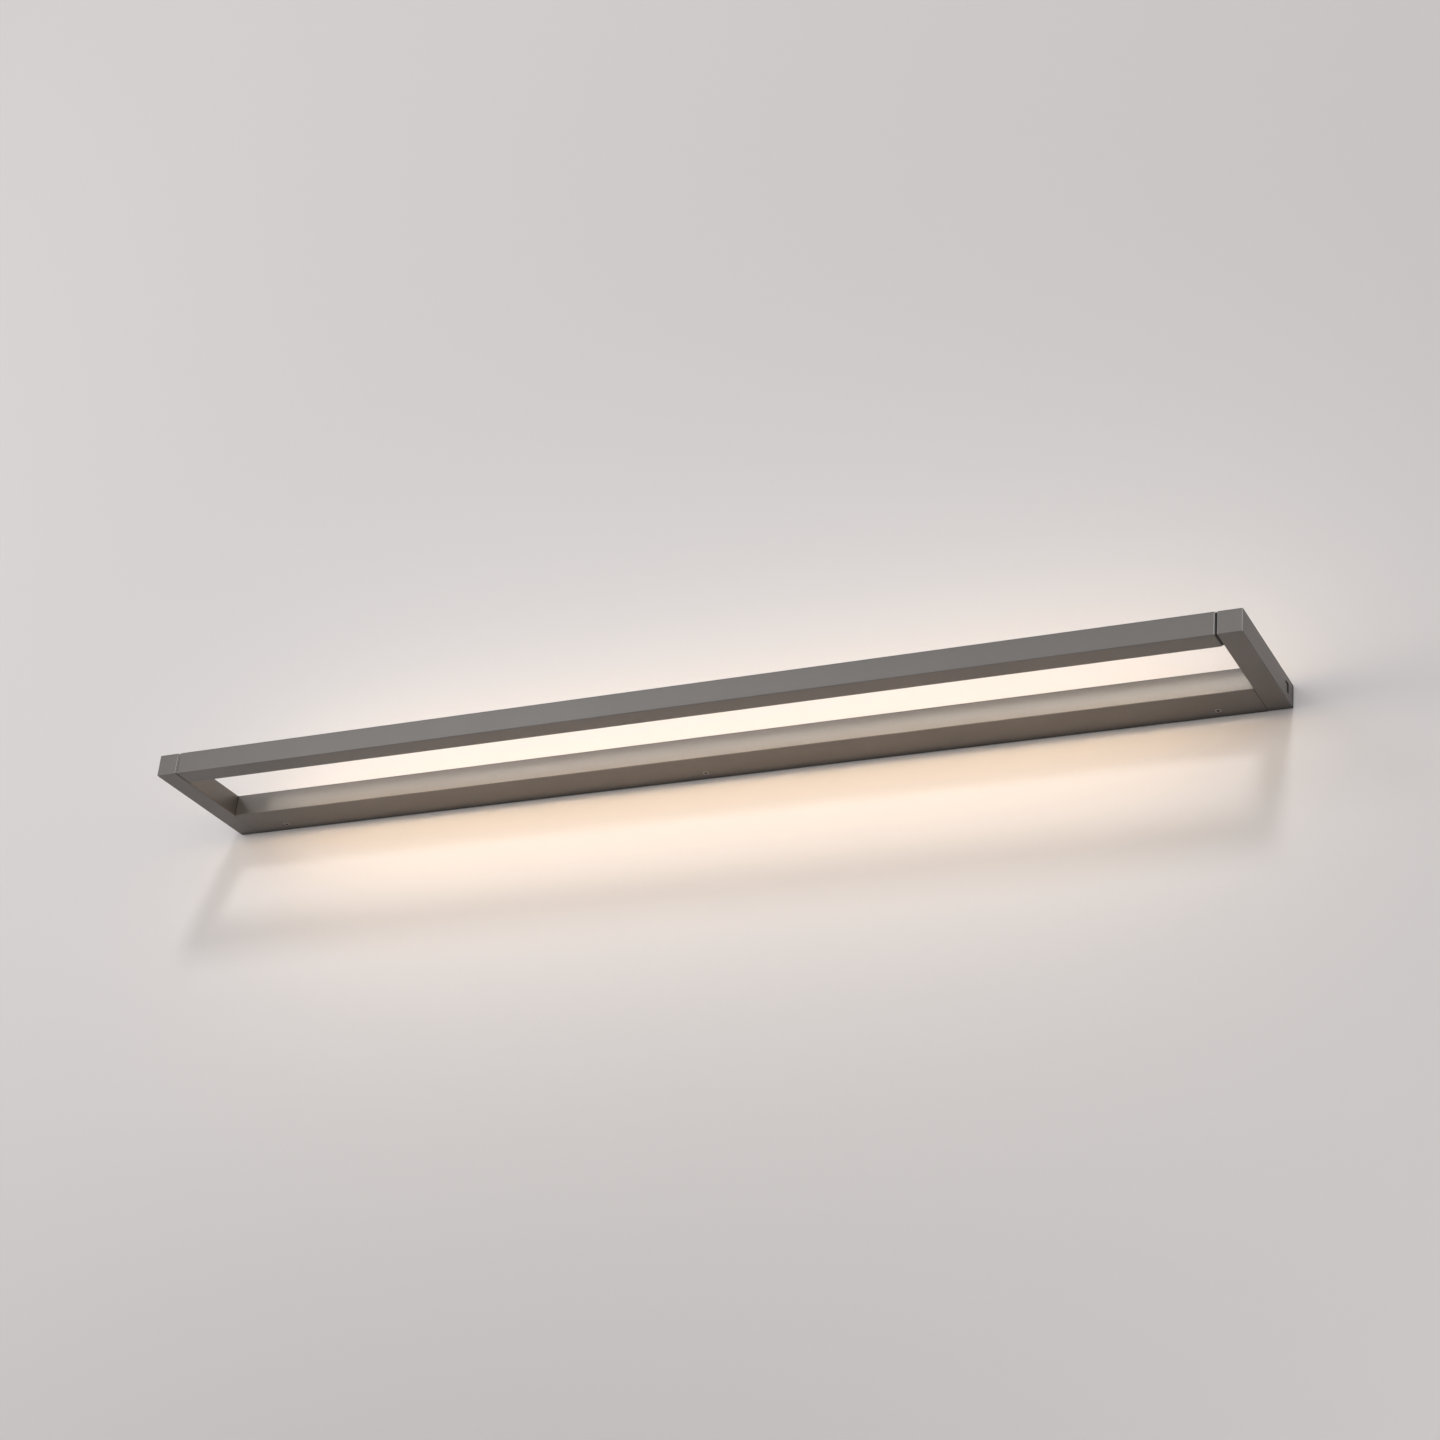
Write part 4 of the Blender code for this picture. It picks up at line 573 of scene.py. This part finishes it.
def step(tree, kind, links=(), **values):
    """A node of a Geometry Nodes tree, with its sockets fed by outputs or set to values."""
    node = tree.nodes.new(kind)
    for key, value in values.items():
        setattr(node, key, value)
    for socket, value in links:
        if isinstance(value, bpy.types.NodeSocket):
            tree.links.new(value, node.inputs[socket])
        else:
            node.inputs[socket].default_value = value
    return node


def along_z(tree, distance):
    """A vector along Z from a length."""
    return step(tree, "ShaderNodeCombineXYZ", [("Z", distance)]).outputs["Vector"]


def moved(tree, mesh, way):
    """Geometry moved by a vector."""
    node = step(tree, "GeometryNodeTransform", [("Geometry", mesh), ("Translation", way)])
    return node.outputs["Geometry"]


def painted(tree, mesh, material):
    """Geometry with a material on it."""
    node = step(tree, "GeometryNodeSetMaterial", [("Geometry", mesh), ("Material", material)])
    return node.outputs["Geometry"]


def cut_away(tree, mesh, cutter):
    """Geometry with another shape cut out of it."""
    node = step(tree, "GeometryNodeMeshBoolean", operation="DIFFERENCE", solver="EXACT")
    tree.links.new(mesh, node.inputs["Mesh 1"])
    tree.links.new(cutter, node.inputs["Mesh 2"])
    return node.outputs["Mesh"]


def copied_to_places(tree, places, part):
    """A copy of a part at each place, turned to the place's axis and made real."""
    axis = step(tree, "GeometryNodeInputNamedAttribute", [("Name", "axis")], data_type="FLOAT_VECTOR")
    turn = step(tree, "FunctionNodeAlignRotationToVector", [("Vector", axis.outputs["Attribute"])], axis="Z")
    copies = step(
        tree,
        "GeometryNodeInstanceOnPoints",
        [("Points", places), ("Instance", part), ("Rotation", turn.outputs["Rotation"])],
    )
    real = step(tree, "GeometryNodeRealizeInstances", [("Geometry", copies.outputs["Instances"])])
    return real.outputs["Geometry"]


def frustum(tree, start, length, radius_start, radius_end):
    """A closed cone or cylinder along Z."""
    node = step(
        tree,
        "GeometryNodeMeshCone",
        [
            ("Vertices", SCREW_SEGMENTS),
            ("Radius Bottom", radius_start),
            ("Radius Top", radius_end),
            ("Depth", length),
        ],
    )
    return moved(tree, node.outputs["Mesh"], along_z(tree, start))


def screw_tree():
    """A socket screw at each place, its head's face there and its shank along the place's axis."""
    tree, given, result = new_geometry_tree(
        "socket_screw",
        [
            ("Head Radius", "NodeSocketFloat", 0.004),
            ("Head Height", "NodeSocketFloat", 0.002),
            ("Neck Radius", "NodeSocketFloat", 0.002),
            ("Shank Radius", "NodeSocketFloat", 0.002),
            ("Length", "NodeSocketFloat", 0.006),
            ("Socket Radius", "NodeSocketFloat", 0.0014),
            ("Material", "NodeSocketMaterial", None),
        ],
    )
    head, height = given.outputs["Head Radius"], given.outputs["Head Height"]
    shank, length = given.outputs["Shank Radius"], given.outputs["Length"]
    rim = calculated(tree, "MULTIPLY", height, RIM_SHARE)
    inner_rim = calculated(tree, "SUBTRACT", head, rim)
    below_rim = calculated(tree, "SUBTRACT", height, rim)
    tip = calculated(tree, "MULTIPLY", shank, TIP_LENGTH_SHARE)
    shank_end = calculated(tree, "SUBTRACT", length, tip)
    tip_start = calculated(tree, "SUBTRACT", shank_end, tip)
    tip_length = calculated(tree, "MULTIPLY", tip, 2)
    tip_radius = calculated(tree, "MULTIPLY", shank, TIP_START_SHARE)
    end_radius = calculated(tree, "MULTIPLY", shank, TIP_END_SHARE)
    parts = [
        frustum(tree, 0.0, rim, inner_rim, head),
        frustum(tree, rim, below_rim, head, given.outputs["Neck Radius"]),
        frustum(tree, rim, calculated(tree, "SUBTRACT", shank_end, rim), shank, shank),
        frustum(tree, tip_start, tip_length, tip_radius, end_radius),
    ]
    whole = step(tree, "GeometryNodeMeshBoolean", operation="UNION", solver="EXACT")
    for part in parts:
        tree.links.new(part, whole.inputs["Mesh 2"])
    depth = calculated(tree, "MULTIPLY", given.outputs["Socket Radius"], 2 * SOCKET_DEPTH_SHARE)
    socket = step(
        tree,
        "GeometryNodeMeshCylinder",
        [
            ("Vertices", 6),
            ("Radius", given.outputs["Socket Radius"]),
            ("Depth", calculated(tree, "MULTIPLY", depth, 2)),
        ],
    )
    screw = cut_away(tree, whole.outputs["Mesh"], socket.outputs["Mesh"])
    copies = copied_to_places(tree, given.outputs["Places"], screw)
    tree.links.new(painted(tree, copies, given.outputs["Material"]), result.inputs["Copies"])
    return tree


def grown(name, places, tree, values):
    """Runs a Geometry Nodes tree on a mesh of places and returns the plain mesh that it makes."""
    holder = new_object(name + "_worker", places)
    modifier = holder.modifiers.new("copies", "NODES")
    modifier.node_group = tree
    sockets = {item.name: item.identifier for item in tree.interface.items_tree if item.in_out == "INPUT"}
    for socket, value in values.items():
        modifier[sockets[socket]] = value
    mesh = bpy.data.meshes.new_from_object(holder.evaluated_get(bpy.context.evaluated_depsgraph_get()))
    bpy.data.objects.remove(holder)
    return mesh


def smooth_by_angle(mesh):
    """Smooth shading that keeps the sharp edges."""
    mesh.shade_smooth()
    mesh.set_sharp_from_angle(angle=SMOOTH_ANGLE)
    return mesh


def bare_and_shaded_socket(tree):
    """1 on the painted face of a head that looks down, and dark above it: bare steel and painted shade in
    the socket.
    """
    on_face = calculated(tree, "LESS_THAN", object_place(tree)["Z"], HEAD_FACE + PAINT_REACH)
    return calculated(tree, "MAXIMUM", on_face, SOCKET_SHADE)


def marked_places(points, axis):
    """A mesh of points, each with the axis that its copy is turned to."""
    mesh = bpy.data.meshes.new("places")
    mesh.from_pydata(points, [], [])
    mesh.attributes.new("axis", "FLOAT_VECTOR", "POINT").data.foreach_set("vector", list(axis) * len(points))
    return mesh


screws = screw_tree()
zinc = worked_metal(
    "zinc_plated_steel", ZINC_COLOUR, roughness=0.34, line_width=0.0004, run=EVEN, depth=0.000004
)
black_steel = worked_metal(
    "blackened_steel", BLACK_STEEL_COLOUR, roughness=0.42, line_width=0.0004, run=EVEN, depth=0.000004
)


def screw_set(name, nodes, body, axis, material, slot, kind, gap=0):
    """Screws of one kind that point the same way, as long as their CAD nodes and as wide, less a gap."""
    along = max(range(3), key=lambda i: abs(axis[i]))
    boxes = [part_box(node) for node in nodes]
    size = boxes[0][1] - boxes[0][0]
    heads = []
    for box_low, box_high in boxes:
        head = (box_low + box_high) / 2
        head[along] = box_low[along] if axis[along] > 0 else box_high[along]
        heads.append(head)
    head_radius = min(size[i] for i in range(3) if i != along) / 2 - gap
    mesh = grown(
        name,
        marked_places(heads, axis),
        screws,
        {
            "Head Radius": head_radius,
            "Head Height": kind["head_height"],
            "Neck Radius": head_radius * kind["neck_share"],
            "Shank Radius": kind["shank_radius"],
            "Length": size[along],
            "Socket Radius": kind["socket_radius"],
            "Material": material,
        },
    )
    return finished(name, smooth_by_angle(mesh), material, body, slot, *nodes)


screw_coat = powder_coat("screw_coat", SCREW_COAT_COLOUR, bare_and_shaded_socket)
underneath = [place + "_housing_screw" for place in ("left", "middle", "right")]
screw_set(
    "countersunk_screws", underneath, "frame", UP, screw_coat, "taupe_powder_coat", HOUSING_SCREW, HEAD_GAP
)
for word, side in SIDES.items():
    inward = (-side, 0, 0)
    screw_set(word + "_cap_screw", [word + "_arm_screw"], "frame", inward, zinc, "zinc_steel", CAP_SCREW)
    in_plug = [word + "_lower_end_plug_screw", word + "_upper_end_plug_screw"]
    screw_set(word + "_plug_pan_screws", in_plug, "light_bar", inward, zinc, "zinc_steel", PLUG_SCREW)
in_channel = [word + end for end in ("_driver_screw", "_terminal_block_screw") for word in SIDES]
screw_set("channel_pan_screws", in_channel, "frame", FORWARD, zinc, "zinc_steel", PAN_SCREW)
in_corners = [word + "_corner_block_screw" for word in SIDES]
screw_set("corner_pan_screws", in_corners, "frame", FORWARD, zinc, "zinc_steel", PAN_SCREW)
screw_set("earth_pan_screw", ["earth_screw"], "frame", FORWARD, zinc, "zinc_steel", PAN_SCREW)
at_pins = [word + "_pin_lock_screw" for word in SIDES]
screw_set("grub_screws", at_pins, "frame", FORWARD, black_steel, "black_steel", GRUB_SCREW)

# The wall bracket and the cable entry
# A channel of bare aluminium is screwed flat on the wall through four slots, and the back bar slides over
# it. The house's cable comes through a black rubber bush in its back.
ALUMINIUM_COLOUR = (0.62, 0.63, 0.64)
ALUMINIUM_RUN = (0.01, 1, 1)
RUBBER_COLOUR = (0.018, 0.018, 0.0185)


def grained(name, colour, roughness, grain_size, variation, depth):
    """Moulded plastic or rubber with a fine even grain."""
    material, nodes, links, output = new_material(name)
    shader = principled(nodes, links, output)
    grain = placed_group(
        nodes,
        grain_group,
        {"Colour": (*colour, 1), "Roughness": roughness, "Grain Size": grain_size, "Variation": variation},
    )
    links.new(grain.outputs["Colour"], shader.inputs["Base Color"])
    links.new(grain.outputs["Roughness"], shader.inputs["Roughness"])
    relief(nodes, links, shader, grain.outputs["Height"], depth)
    return material


def repainted(material, *nodes):
    """Gives CAD nodes whose shape is right a finish of their own."""
    for node in nodes:
        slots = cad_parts[node].data.materials
        slots.clear()
        slots.append(material)


aluminium = worked_metal(
    "mill_aluminium", ALUMINIUM_COLOUR, roughness=0.40, line_width=0.0003, run=ALUMINIUM_RUN, depth=0.000006
)
rubber = grained(
    "black_rubber", RUBBER_COLOUR, roughness=0.72, grain_size=0.0006, variation=0.2, depth=0.00002
)
repainted(aluminium, "wall_bracket")
finished("cable_bush", joined_copy("cable_grommet"), rubber, "frame", "black_rubber", "cable_grommet")

# The corner joints
# A machined aluminium block in each end of the back bar takes the arm's screw and its two dowels, so that
# no fastener shows. A fine black bead lies in the joint at the front, partly the joint's own dark line and
# partly painted shade.
JOINT_GAP = 0.00029
JOINT_LINE_WIDTH = 0.0008
JOINT_LINE_HEIGHT = 0.0003
JOINT_LINE_REACH = 0.0118


def block(corner, other, edge=0):
    """A box between two corners, its edges broken by a bevel if it has one."""
    shape = bmesh.new()
    bmesh.ops.create_cube(shape, size=1)
    bmesh.ops.scale(shape, vec=[abs(b - a) for a, b in zip(corner, other)], verts=shape.verts)
    bmesh.ops.translate(shape, vec=[(a + b) / 2 for a, b in zip(corner, other)], verts=shape.verts)
    if edge:
        bmesh.ops.bevel(shape, geom=shape.edges, offset=edge, segments=1, affect="EDGES")
    mesh = bpy.data.meshes.new("block")
    shape.to_mesh(mesh)
    shape.free()
    return mesh


def added(name, mesh, material, body):
    """A small piece that the CAD doesn't have, which rides on its body and has a material."""
    mesh.name = name
    mesh.materials.clear()
    mesh.materials.append(material)
    piece = new_object(name, mesh)
    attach(piece, body)
    return piece


repainted(aluminium, "left_corner_block", "right_corner_block")
for word in SIDES:
    for place in ("front", "rear"):
        node = f"{word}_{place}_locating_pin"
        finished(node + "_ground", joined_copy(node), zinc, "frame", "zinc_steel", node)
for word, side in SIDES.items():
    end = side * (JOINT_PLACE + JOINT_GAP)
    # Each black bead darkens the joint line: partly the joint itself, partly painted shade.
    joint_line = block(
        (end, JOINT_FACE - JOINT_LINE_HEIGHT, -JOINT_LINE_REACH),
        (end - side * JOINT_LINE_WIDTH, JOINT_FACE, JOINT_LINE_REACH),
    )
    added(word + "_joint_shade_bead", joint_line, rubber, "frame")

# The screw covers
# Square plugs painted with the arms snap into the holes over the arms' screws. Each sits a little below the
# arm's face in a narrow black liner, which is painted shade: it shows as a dark line round it.
COVER_SINK = 0.00095
SHADE_LINER_OUTER_HALF = 0.0052
SHADE_LINER_INNER_HALF = 0.00495
SHADE_LINER_SINK = 0.0001
SHADE_LINER_DEPTH = 0.0025
OUTLINE_STEPS = 64


def outline(half, reach=inf):
    """Points round a square of a half width, its corners cut off at a reach from the middle."""
    points = []
    for i in range(OUTLINE_STEPS):
        across, up = cos(2 * pi * i / OUTLINE_STEPS), sin(2 * pi * i / OUTLINE_STEPS)
        distance = min(half / max(abs(across), abs(up)), reach)
        points.append((across * distance, up * distance))
    return points


def ring_across_x(near, far, middle_y, outer, inner):
    """A flat ring between two outlines, across X from one place to another."""
    shape = bmesh.new()
    loops = []
    for x, points in ((near, outer), (far, outer), (far, inner), (near, inner)):
        loops.append([shape.verts.new((x, middle_y + y, z)) for y, z in points])
    for i in range(4):
        loop, other = loops[i], loops[(i + 1) % 4]
        for j in range(len(loop)):
            after = (j + 1) % len(loop)
            shape.faces.new((loop[j], loop[after], other[after], other[j]))
    bmesh.ops.recalc_face_normals(shape, faces=shape.faces)
    mesh = bpy.data.meshes.new("ring")
    shape.to_mesh(mesh)
    shape.free()
    return smooth_by_angle(mesh)


for word, side in SIDES.items():
    node = word + "_screw_cover"
    mesh = joined_copy(node)
    cover_low, cover_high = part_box(node)
    face = max(abs(cover_low.x), abs(cover_high.x))
    for vertex in mesh.vertices:
        if abs(vertex.co.x) > face - WELD:
            vertex.co.x = side * (face - COVER_SINK)
    finished(node + "_coated", mesh, coat, "frame", "taupe_powder_coat", node)
    # The black liner is painted shade, a dark line round the sunk cover.
    shade_liner = ring_across_x(
        side * (face - SHADE_LINER_SINK),
        side * (face - SHADE_LINER_DEPTH),
        (cover_low.y + cover_high.y) / 2,
        outline(SHADE_LINER_OUTER_HALF),
        outline(SHADE_LINER_INNER_HALF),
    )
    added(word + "_cover_shade_liner", shade_liner, rubber, "frame")

# The driver, the terminal block and their leads
# Both are bought parts in white plastic, screwed to the back bar from inside. Brown and blue leads join
# them, a green one earths the back bar, and a sheathed one runs through the right arm to the light bar.
PLASTIC_COLOUR = (0.80, 0.80, 0.78)
SHEATH_COLOUR = (0.55, 0.54, 0.52)
BRASS_COLOUR = (0.66, 0.62, 0.50)
MAINS_LEADS = {
    "live_lead": ("brown", (0.16, 0.06, 0.025)),
    "neutral_lead": ("blue", (0.03, 0.12, 0.45)),
    "earth_lead": ("green", (0.16, 0.42, 0.06)),
}

white_plastic = grained(
    "white_plastic", PLASTIC_COLOUR, roughness=0.48, grain_size=0.0008, variation=0.05, depth=0.00001
)
brass = worked_metal(
    "tinned_brass", BRASS_COLOUR, roughness=0.35, line_width=0.0003, run=EVEN, depth=0.000004
)
sheath = grained(
    "lead_sheath", SHEATH_COLOUR, roughness=0.5, grain_size=0.0007, variation=0.08, depth=0.00001
)
repainted(white_plastic, "led_driver", "terminal_block")
repainted(brass, "earth_tag")
finished("sheathed_driver_lead", joined_copy("driver_lead"), sheath, "frame", "lead_sheath", "driver_lead")
for node, (word, colour) in MAINS_LEADS.items():
    insulation = grained(
        word + "_insulation", colour, roughness=0.5, grain_size=0.0006, variation=0.08, depth=0.00001
    )
    finished(node + "_insulated", joined_copy(node), insulation, "frame", word + "_insulation", node)
finished("lead_wall_collar", joined_copy("lead_collar"), rubber, "frame", "black_rubber", "lead_collar")

# The pivots
# Turned steel pins in the arms run in bronze bushes in the bar's milled end plugs, with rubber rings for
# grip. A painted cap closes the bar's left end, and a black rubber sheet on its right end is painted shade,
# which makes the gap there dark.
BRONZE_COLOUR = (0.52, 0.34, 0.16)
TURNED_RUN = (1, 0.02, 0.02)
END_SHEET_HALF = 0.0117
END_SHEET_REACH = 0.0158
END_SHEET_HOLE = 0.0062
END_SHEET_THICKNESS = 0.0011

turned_steel = worked_metal(
    "turned_steel", ZINC_COLOUR, roughness=0.30, line_width=0.00025, run=TURNED_RUN, depth=0.000005
)
bronze = worked_metal(
    "bronze", BRONZE_COLOUR, roughness=0.35, line_width=0.00025, run=TURNED_RUN, depth=0.000005
)
pivot_parts = (
    ("_pivot_pin", "_turned", turned_steel, "frame", "zinc_steel"),
    ("_end_plug", "_milled", aluminium, "light_bar", "mill_aluminium"),
    ("_pivot_bush", "_sintered", bronze, "light_bar", "bronze"),
    ("_friction_ring", "_moulded", rubber, "light_bar", "black_rubber"),
)
bar_low, bar_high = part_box("bar_housing")
for word, side in SIDES.items():
    for part, ending, material, body, slot in pivot_parts:
        node = word + part
        finished(node + ending, joined_copy(node), material, body, slot, node)
    end_sheet = ring_across_x(
        side * bar_high.x,
        side * (bar_high.x + END_SHEET_THICKNESS),
        (bar_low.y + bar_high.y) / 2,
        outline(END_SHEET_HALF, END_SHEET_REACH),
        outline(END_SHEET_HOLE, END_SHEET_HOLE),
    )
    # The black sheet on the right end is painted shade in the gap between the bar and the arm.
    if word == "right":
        added("right_end_shade_sheet", end_sheet, rubber, "light_bar")
    else:
        added("left_end_cap", end_sheet, coat, "light_bar")

# The circuit boards
# Two long boards in white solder resist lie in the bar's grooves, each with a row of warm white chips and
# a pair of tinned pads at each chip. A connector bridges them in the middle.
BOARD_COLOUR = (0.85, 0.85, 0.83)
BOARD_EDGE = 0.0001
CHIP_COLOUR = (0.90, 0.89, 0.86)
PHOSPHOR_COLOUR = (0.88, 0.66, 0.18)
CHIP_COUNT = 35
CHIP_PITCH = 0.016
CHIP_SIZE = (0.0035, 0.0028, 0.0007)
CHIP_WINDOW_SHARE = 0.76
FILL_WIDTH_SHARE = 0.98
FILL_HEIGHT_SHARE = 0.25
FILL_PLACE_SHARE = 0.65
PAD_SIZE = (0.0009, 0.0024, 0.00004)
PAD_PLACE_SHARE = 0.62
TO_WALL = (0, 1, 0)


def cuboid(tree, size, way):
    """A box of a given size, its middle moved by a vector."""
    return moved(tree, step(tree, "GeometryNodeMeshCube", [("Size", size)]).outputs["Mesh"], way)


def window_size(tree, length, width, height, share):
    """The size of the window in a chip's face, or of a share of it."""
    across = calculated(tree, "MULTIPLY", length, CHIP_WINDOW_SHARE * share)
    up = calculated(tree, "MULTIPLY", width, CHIP_WINDOW_SHARE * share)
    return step(tree, "ShaderNodeCombineXYZ", [("X", across), ("Y", up), ("Z", height)]).outputs["Vector"]


def chip_tree():
    """One chip with its filled window and its two pads at each place."""
    tree, given, result = new_geometry_tree(
        "chip_row",
        [
            ("Chip Size", "NodeSocketVector", CHIP_SIZE),
            ("Pad Size", "NodeSocketVector", PAD_SIZE),
            ("Body", "NodeSocketMaterial", None),
            ("Phosphor", "NodeSocketMaterial", None),
            ("Tin", "NodeSocketMaterial", None),
        ],
    )
    size = step(tree, "ShaderNodeSeparateXYZ", [("Vector", given.outputs["Chip Size"])])
    length, width, height = (size.outputs[axis] for axis in "XYZ")
    half = calculated(tree, "MULTIPLY", height, 0.5)
    body = cuboid(tree, given.outputs["Chip Size"], along_z(tree, half))
    pocket = cuboid(tree, window_size(tree, length, width, height, 1), along_z(tree, height))
    fill_height = calculated(tree, "MULTIPLY", height, FILL_HEIGHT_SHARE)
    fill_place = calculated(tree, "MULTIPLY", height, FILL_PLACE_SHARE)
    fill_size = window_size(tree, length, width, fill_height, FILL_WIDTH_SHARE)
    fill = cuboid(tree, fill_size, along_z(tree, fill_place))
    chip = step(tree, "GeometryNodeJoinGeometry")
    hollowed = painted(tree, cut_away(tree, body, pocket), given.outputs["Body"])
    tree.links.new(hollowed, chip.inputs["Geometry"])
    tree.links.new(painted(tree, fill, given.outputs["Phosphor"]), chip.inputs["Geometry"])
    for side in (-1, 1):
        reach = calculated(tree, "MULTIPLY", length, side * PAD_PLACE_SHARE)
        beside = step(tree, "ShaderNodeCombineXYZ", [("X", reach)]).outputs["Vector"]
        pad = cuboid(tree, given.outputs["Pad Size"], beside)
        tree.links.new(painted(tree, pad, given.outputs["Tin"]), chip.inputs["Geometry"])
    copies = copied_to_places(tree, given.outputs["Places"], chip.outputs["Geometry"])
    tree.links.new(copies, result.inputs["Copies"])
    return tree


resist = grained(
    "white_solder_resist", BOARD_COLOUR, roughness=0.32, grain_size=0.0005, variation=0.04, depth=0.000006
)
chip_body = grained(
    "chip_body", CHIP_COLOUR, roughness=0.4, grain_size=0.0004, variation=0.04, depth=0.000004
)
phosphor = grained(
    "chip_phosphor", PHOSPHOR_COLOUR, roughness=0.45, grain_size=0.0003, variation=0.2, depth=0.00001
)
chips = chip_tree()
for word, side in SIDES.items():
    node = word + "_led_board"
    board_low, board_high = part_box(node)
    top = board_high.y - CHIP_SIZE[2]
    board = block(board_low, (board_high.x, top, board_high.z), BOARD_EDGE)
    finished(word + "_circuit_board", board, resist, "light_bar", "circuit_board", node)
    centres = [(side * (2 * i + 1) * CHIP_PITCH / 2, top, 0) for i in range(CHIP_COUNT)]
    materials = {"Body": chip_body, "Phosphor": phosphor, "Tin": brass}
    mesh = grown(word + "_chips", marked_places(centres, TO_WALL), chips, materials)
    piece = new_object(word + "_chips", mesh)
    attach(piece, "light_bar")
repainted(white_plastic, "board_link")
finished("sheathed_bar_lead", joined_copy("bar_lead"), sheath, "light_bar", "lead_sheath", "bar_lead")

# The opal cover and its glow
# A strip of opal acrylic, snapped into the bar and lit by the chips behind it. A long warm lamp on its face
# stands for what it throws at the wall, and a narrow, whiter one for the bright front of the back bar.
OPAL_COLOUR = (0.92, 0.90, 0.86)
OPAL_ROUGHNESS = 0.35
OPAL_GRAIN = 0.004
OPAL_VARIATION = 0.03
OPAL_GLOW = (1.0, 0.86, 0.70)
OPAL_STRENGTH = 0.85
LAMP_LIFT = 0.0026
LAMP_AIM_AHEAD = 1.0
GLOW_COLOUR = (1.0, 0.705, 0.42)
GLOW_POWER = 0.545
GLOW_SPREAD = radians(165)
GLOW_LENGTH_SHARE = 0.94
GLOW_LEAN = 0.22
BEAM_COLOUR = (1.0, 0.97, 0.92)
BEAM_POWER = 0.078
BEAM_SPREAD = radians(18)
BEAM_LEAN = 0.02
BEAM_HEIGHT = 0.004
BEAM_START = -0.53

opal, nodes, links, output = new_material("opal_acrylic")
shader = principled(nodes, links, output, Emission_Strength=OPAL_STRENGTH, Roughness=OPAL_ROUGHNESS)
shader.inputs["Emission Color"].default_value = (*OPAL_GLOW, 1)
grain = placed_group(
    nodes,
    grain_group,
    {
        "Colour": (*OPAL_COLOUR, 1),
        "Roughness": OPAL_ROUGHNESS,
        "Grain Size": OPAL_GRAIN,
        "Variation": OPAL_VARIATION,
    },
)
links.new(grain.outputs["Colour"], shader.inputs["Base Color"])
links.new(grain.outputs["Roughness"], shader.inputs["Roughness"])
finished("opal_cover", joined_copy("diffuser"), opal, "light_bar", "opal_acrylic", "diffuser")

opal_low, opal_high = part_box("diffuser")
lamp_y, aim_y = opal_high.y + LAMP_LIFT, opal_high.y + LAMP_AIM_AHEAD
glow = soft_lamp(
    "bar_glow",
    place=(0, lamp_y, 0),
    aim=(0, aim_y, -GLOW_LEAN),
    size=((opal_high.x - opal_low.x) * GLOW_LENGTH_SHARE, opal_high.z - opal_low.z),
    power=GLOW_POWER,
    colour=GLOW_COLOUR,
    spread=GLOW_SPREAD,
)
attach(glow, "light_bar")
beam_middle = (BEAM_START + opal_high.x) / 2
beam = soft_lamp(
    "bar_beam",
    place=(beam_middle, lamp_y, 0),
    aim=(beam_middle, aim_y, -BEAM_LEAN),
    size=(opal_high.x - BEAM_START, BEAM_HEIGHT),
    power=BEAM_POWER,
    colour=BEAM_COLOUR,
    spread=BEAM_SPREAD,
)
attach(beam, "light_bar")
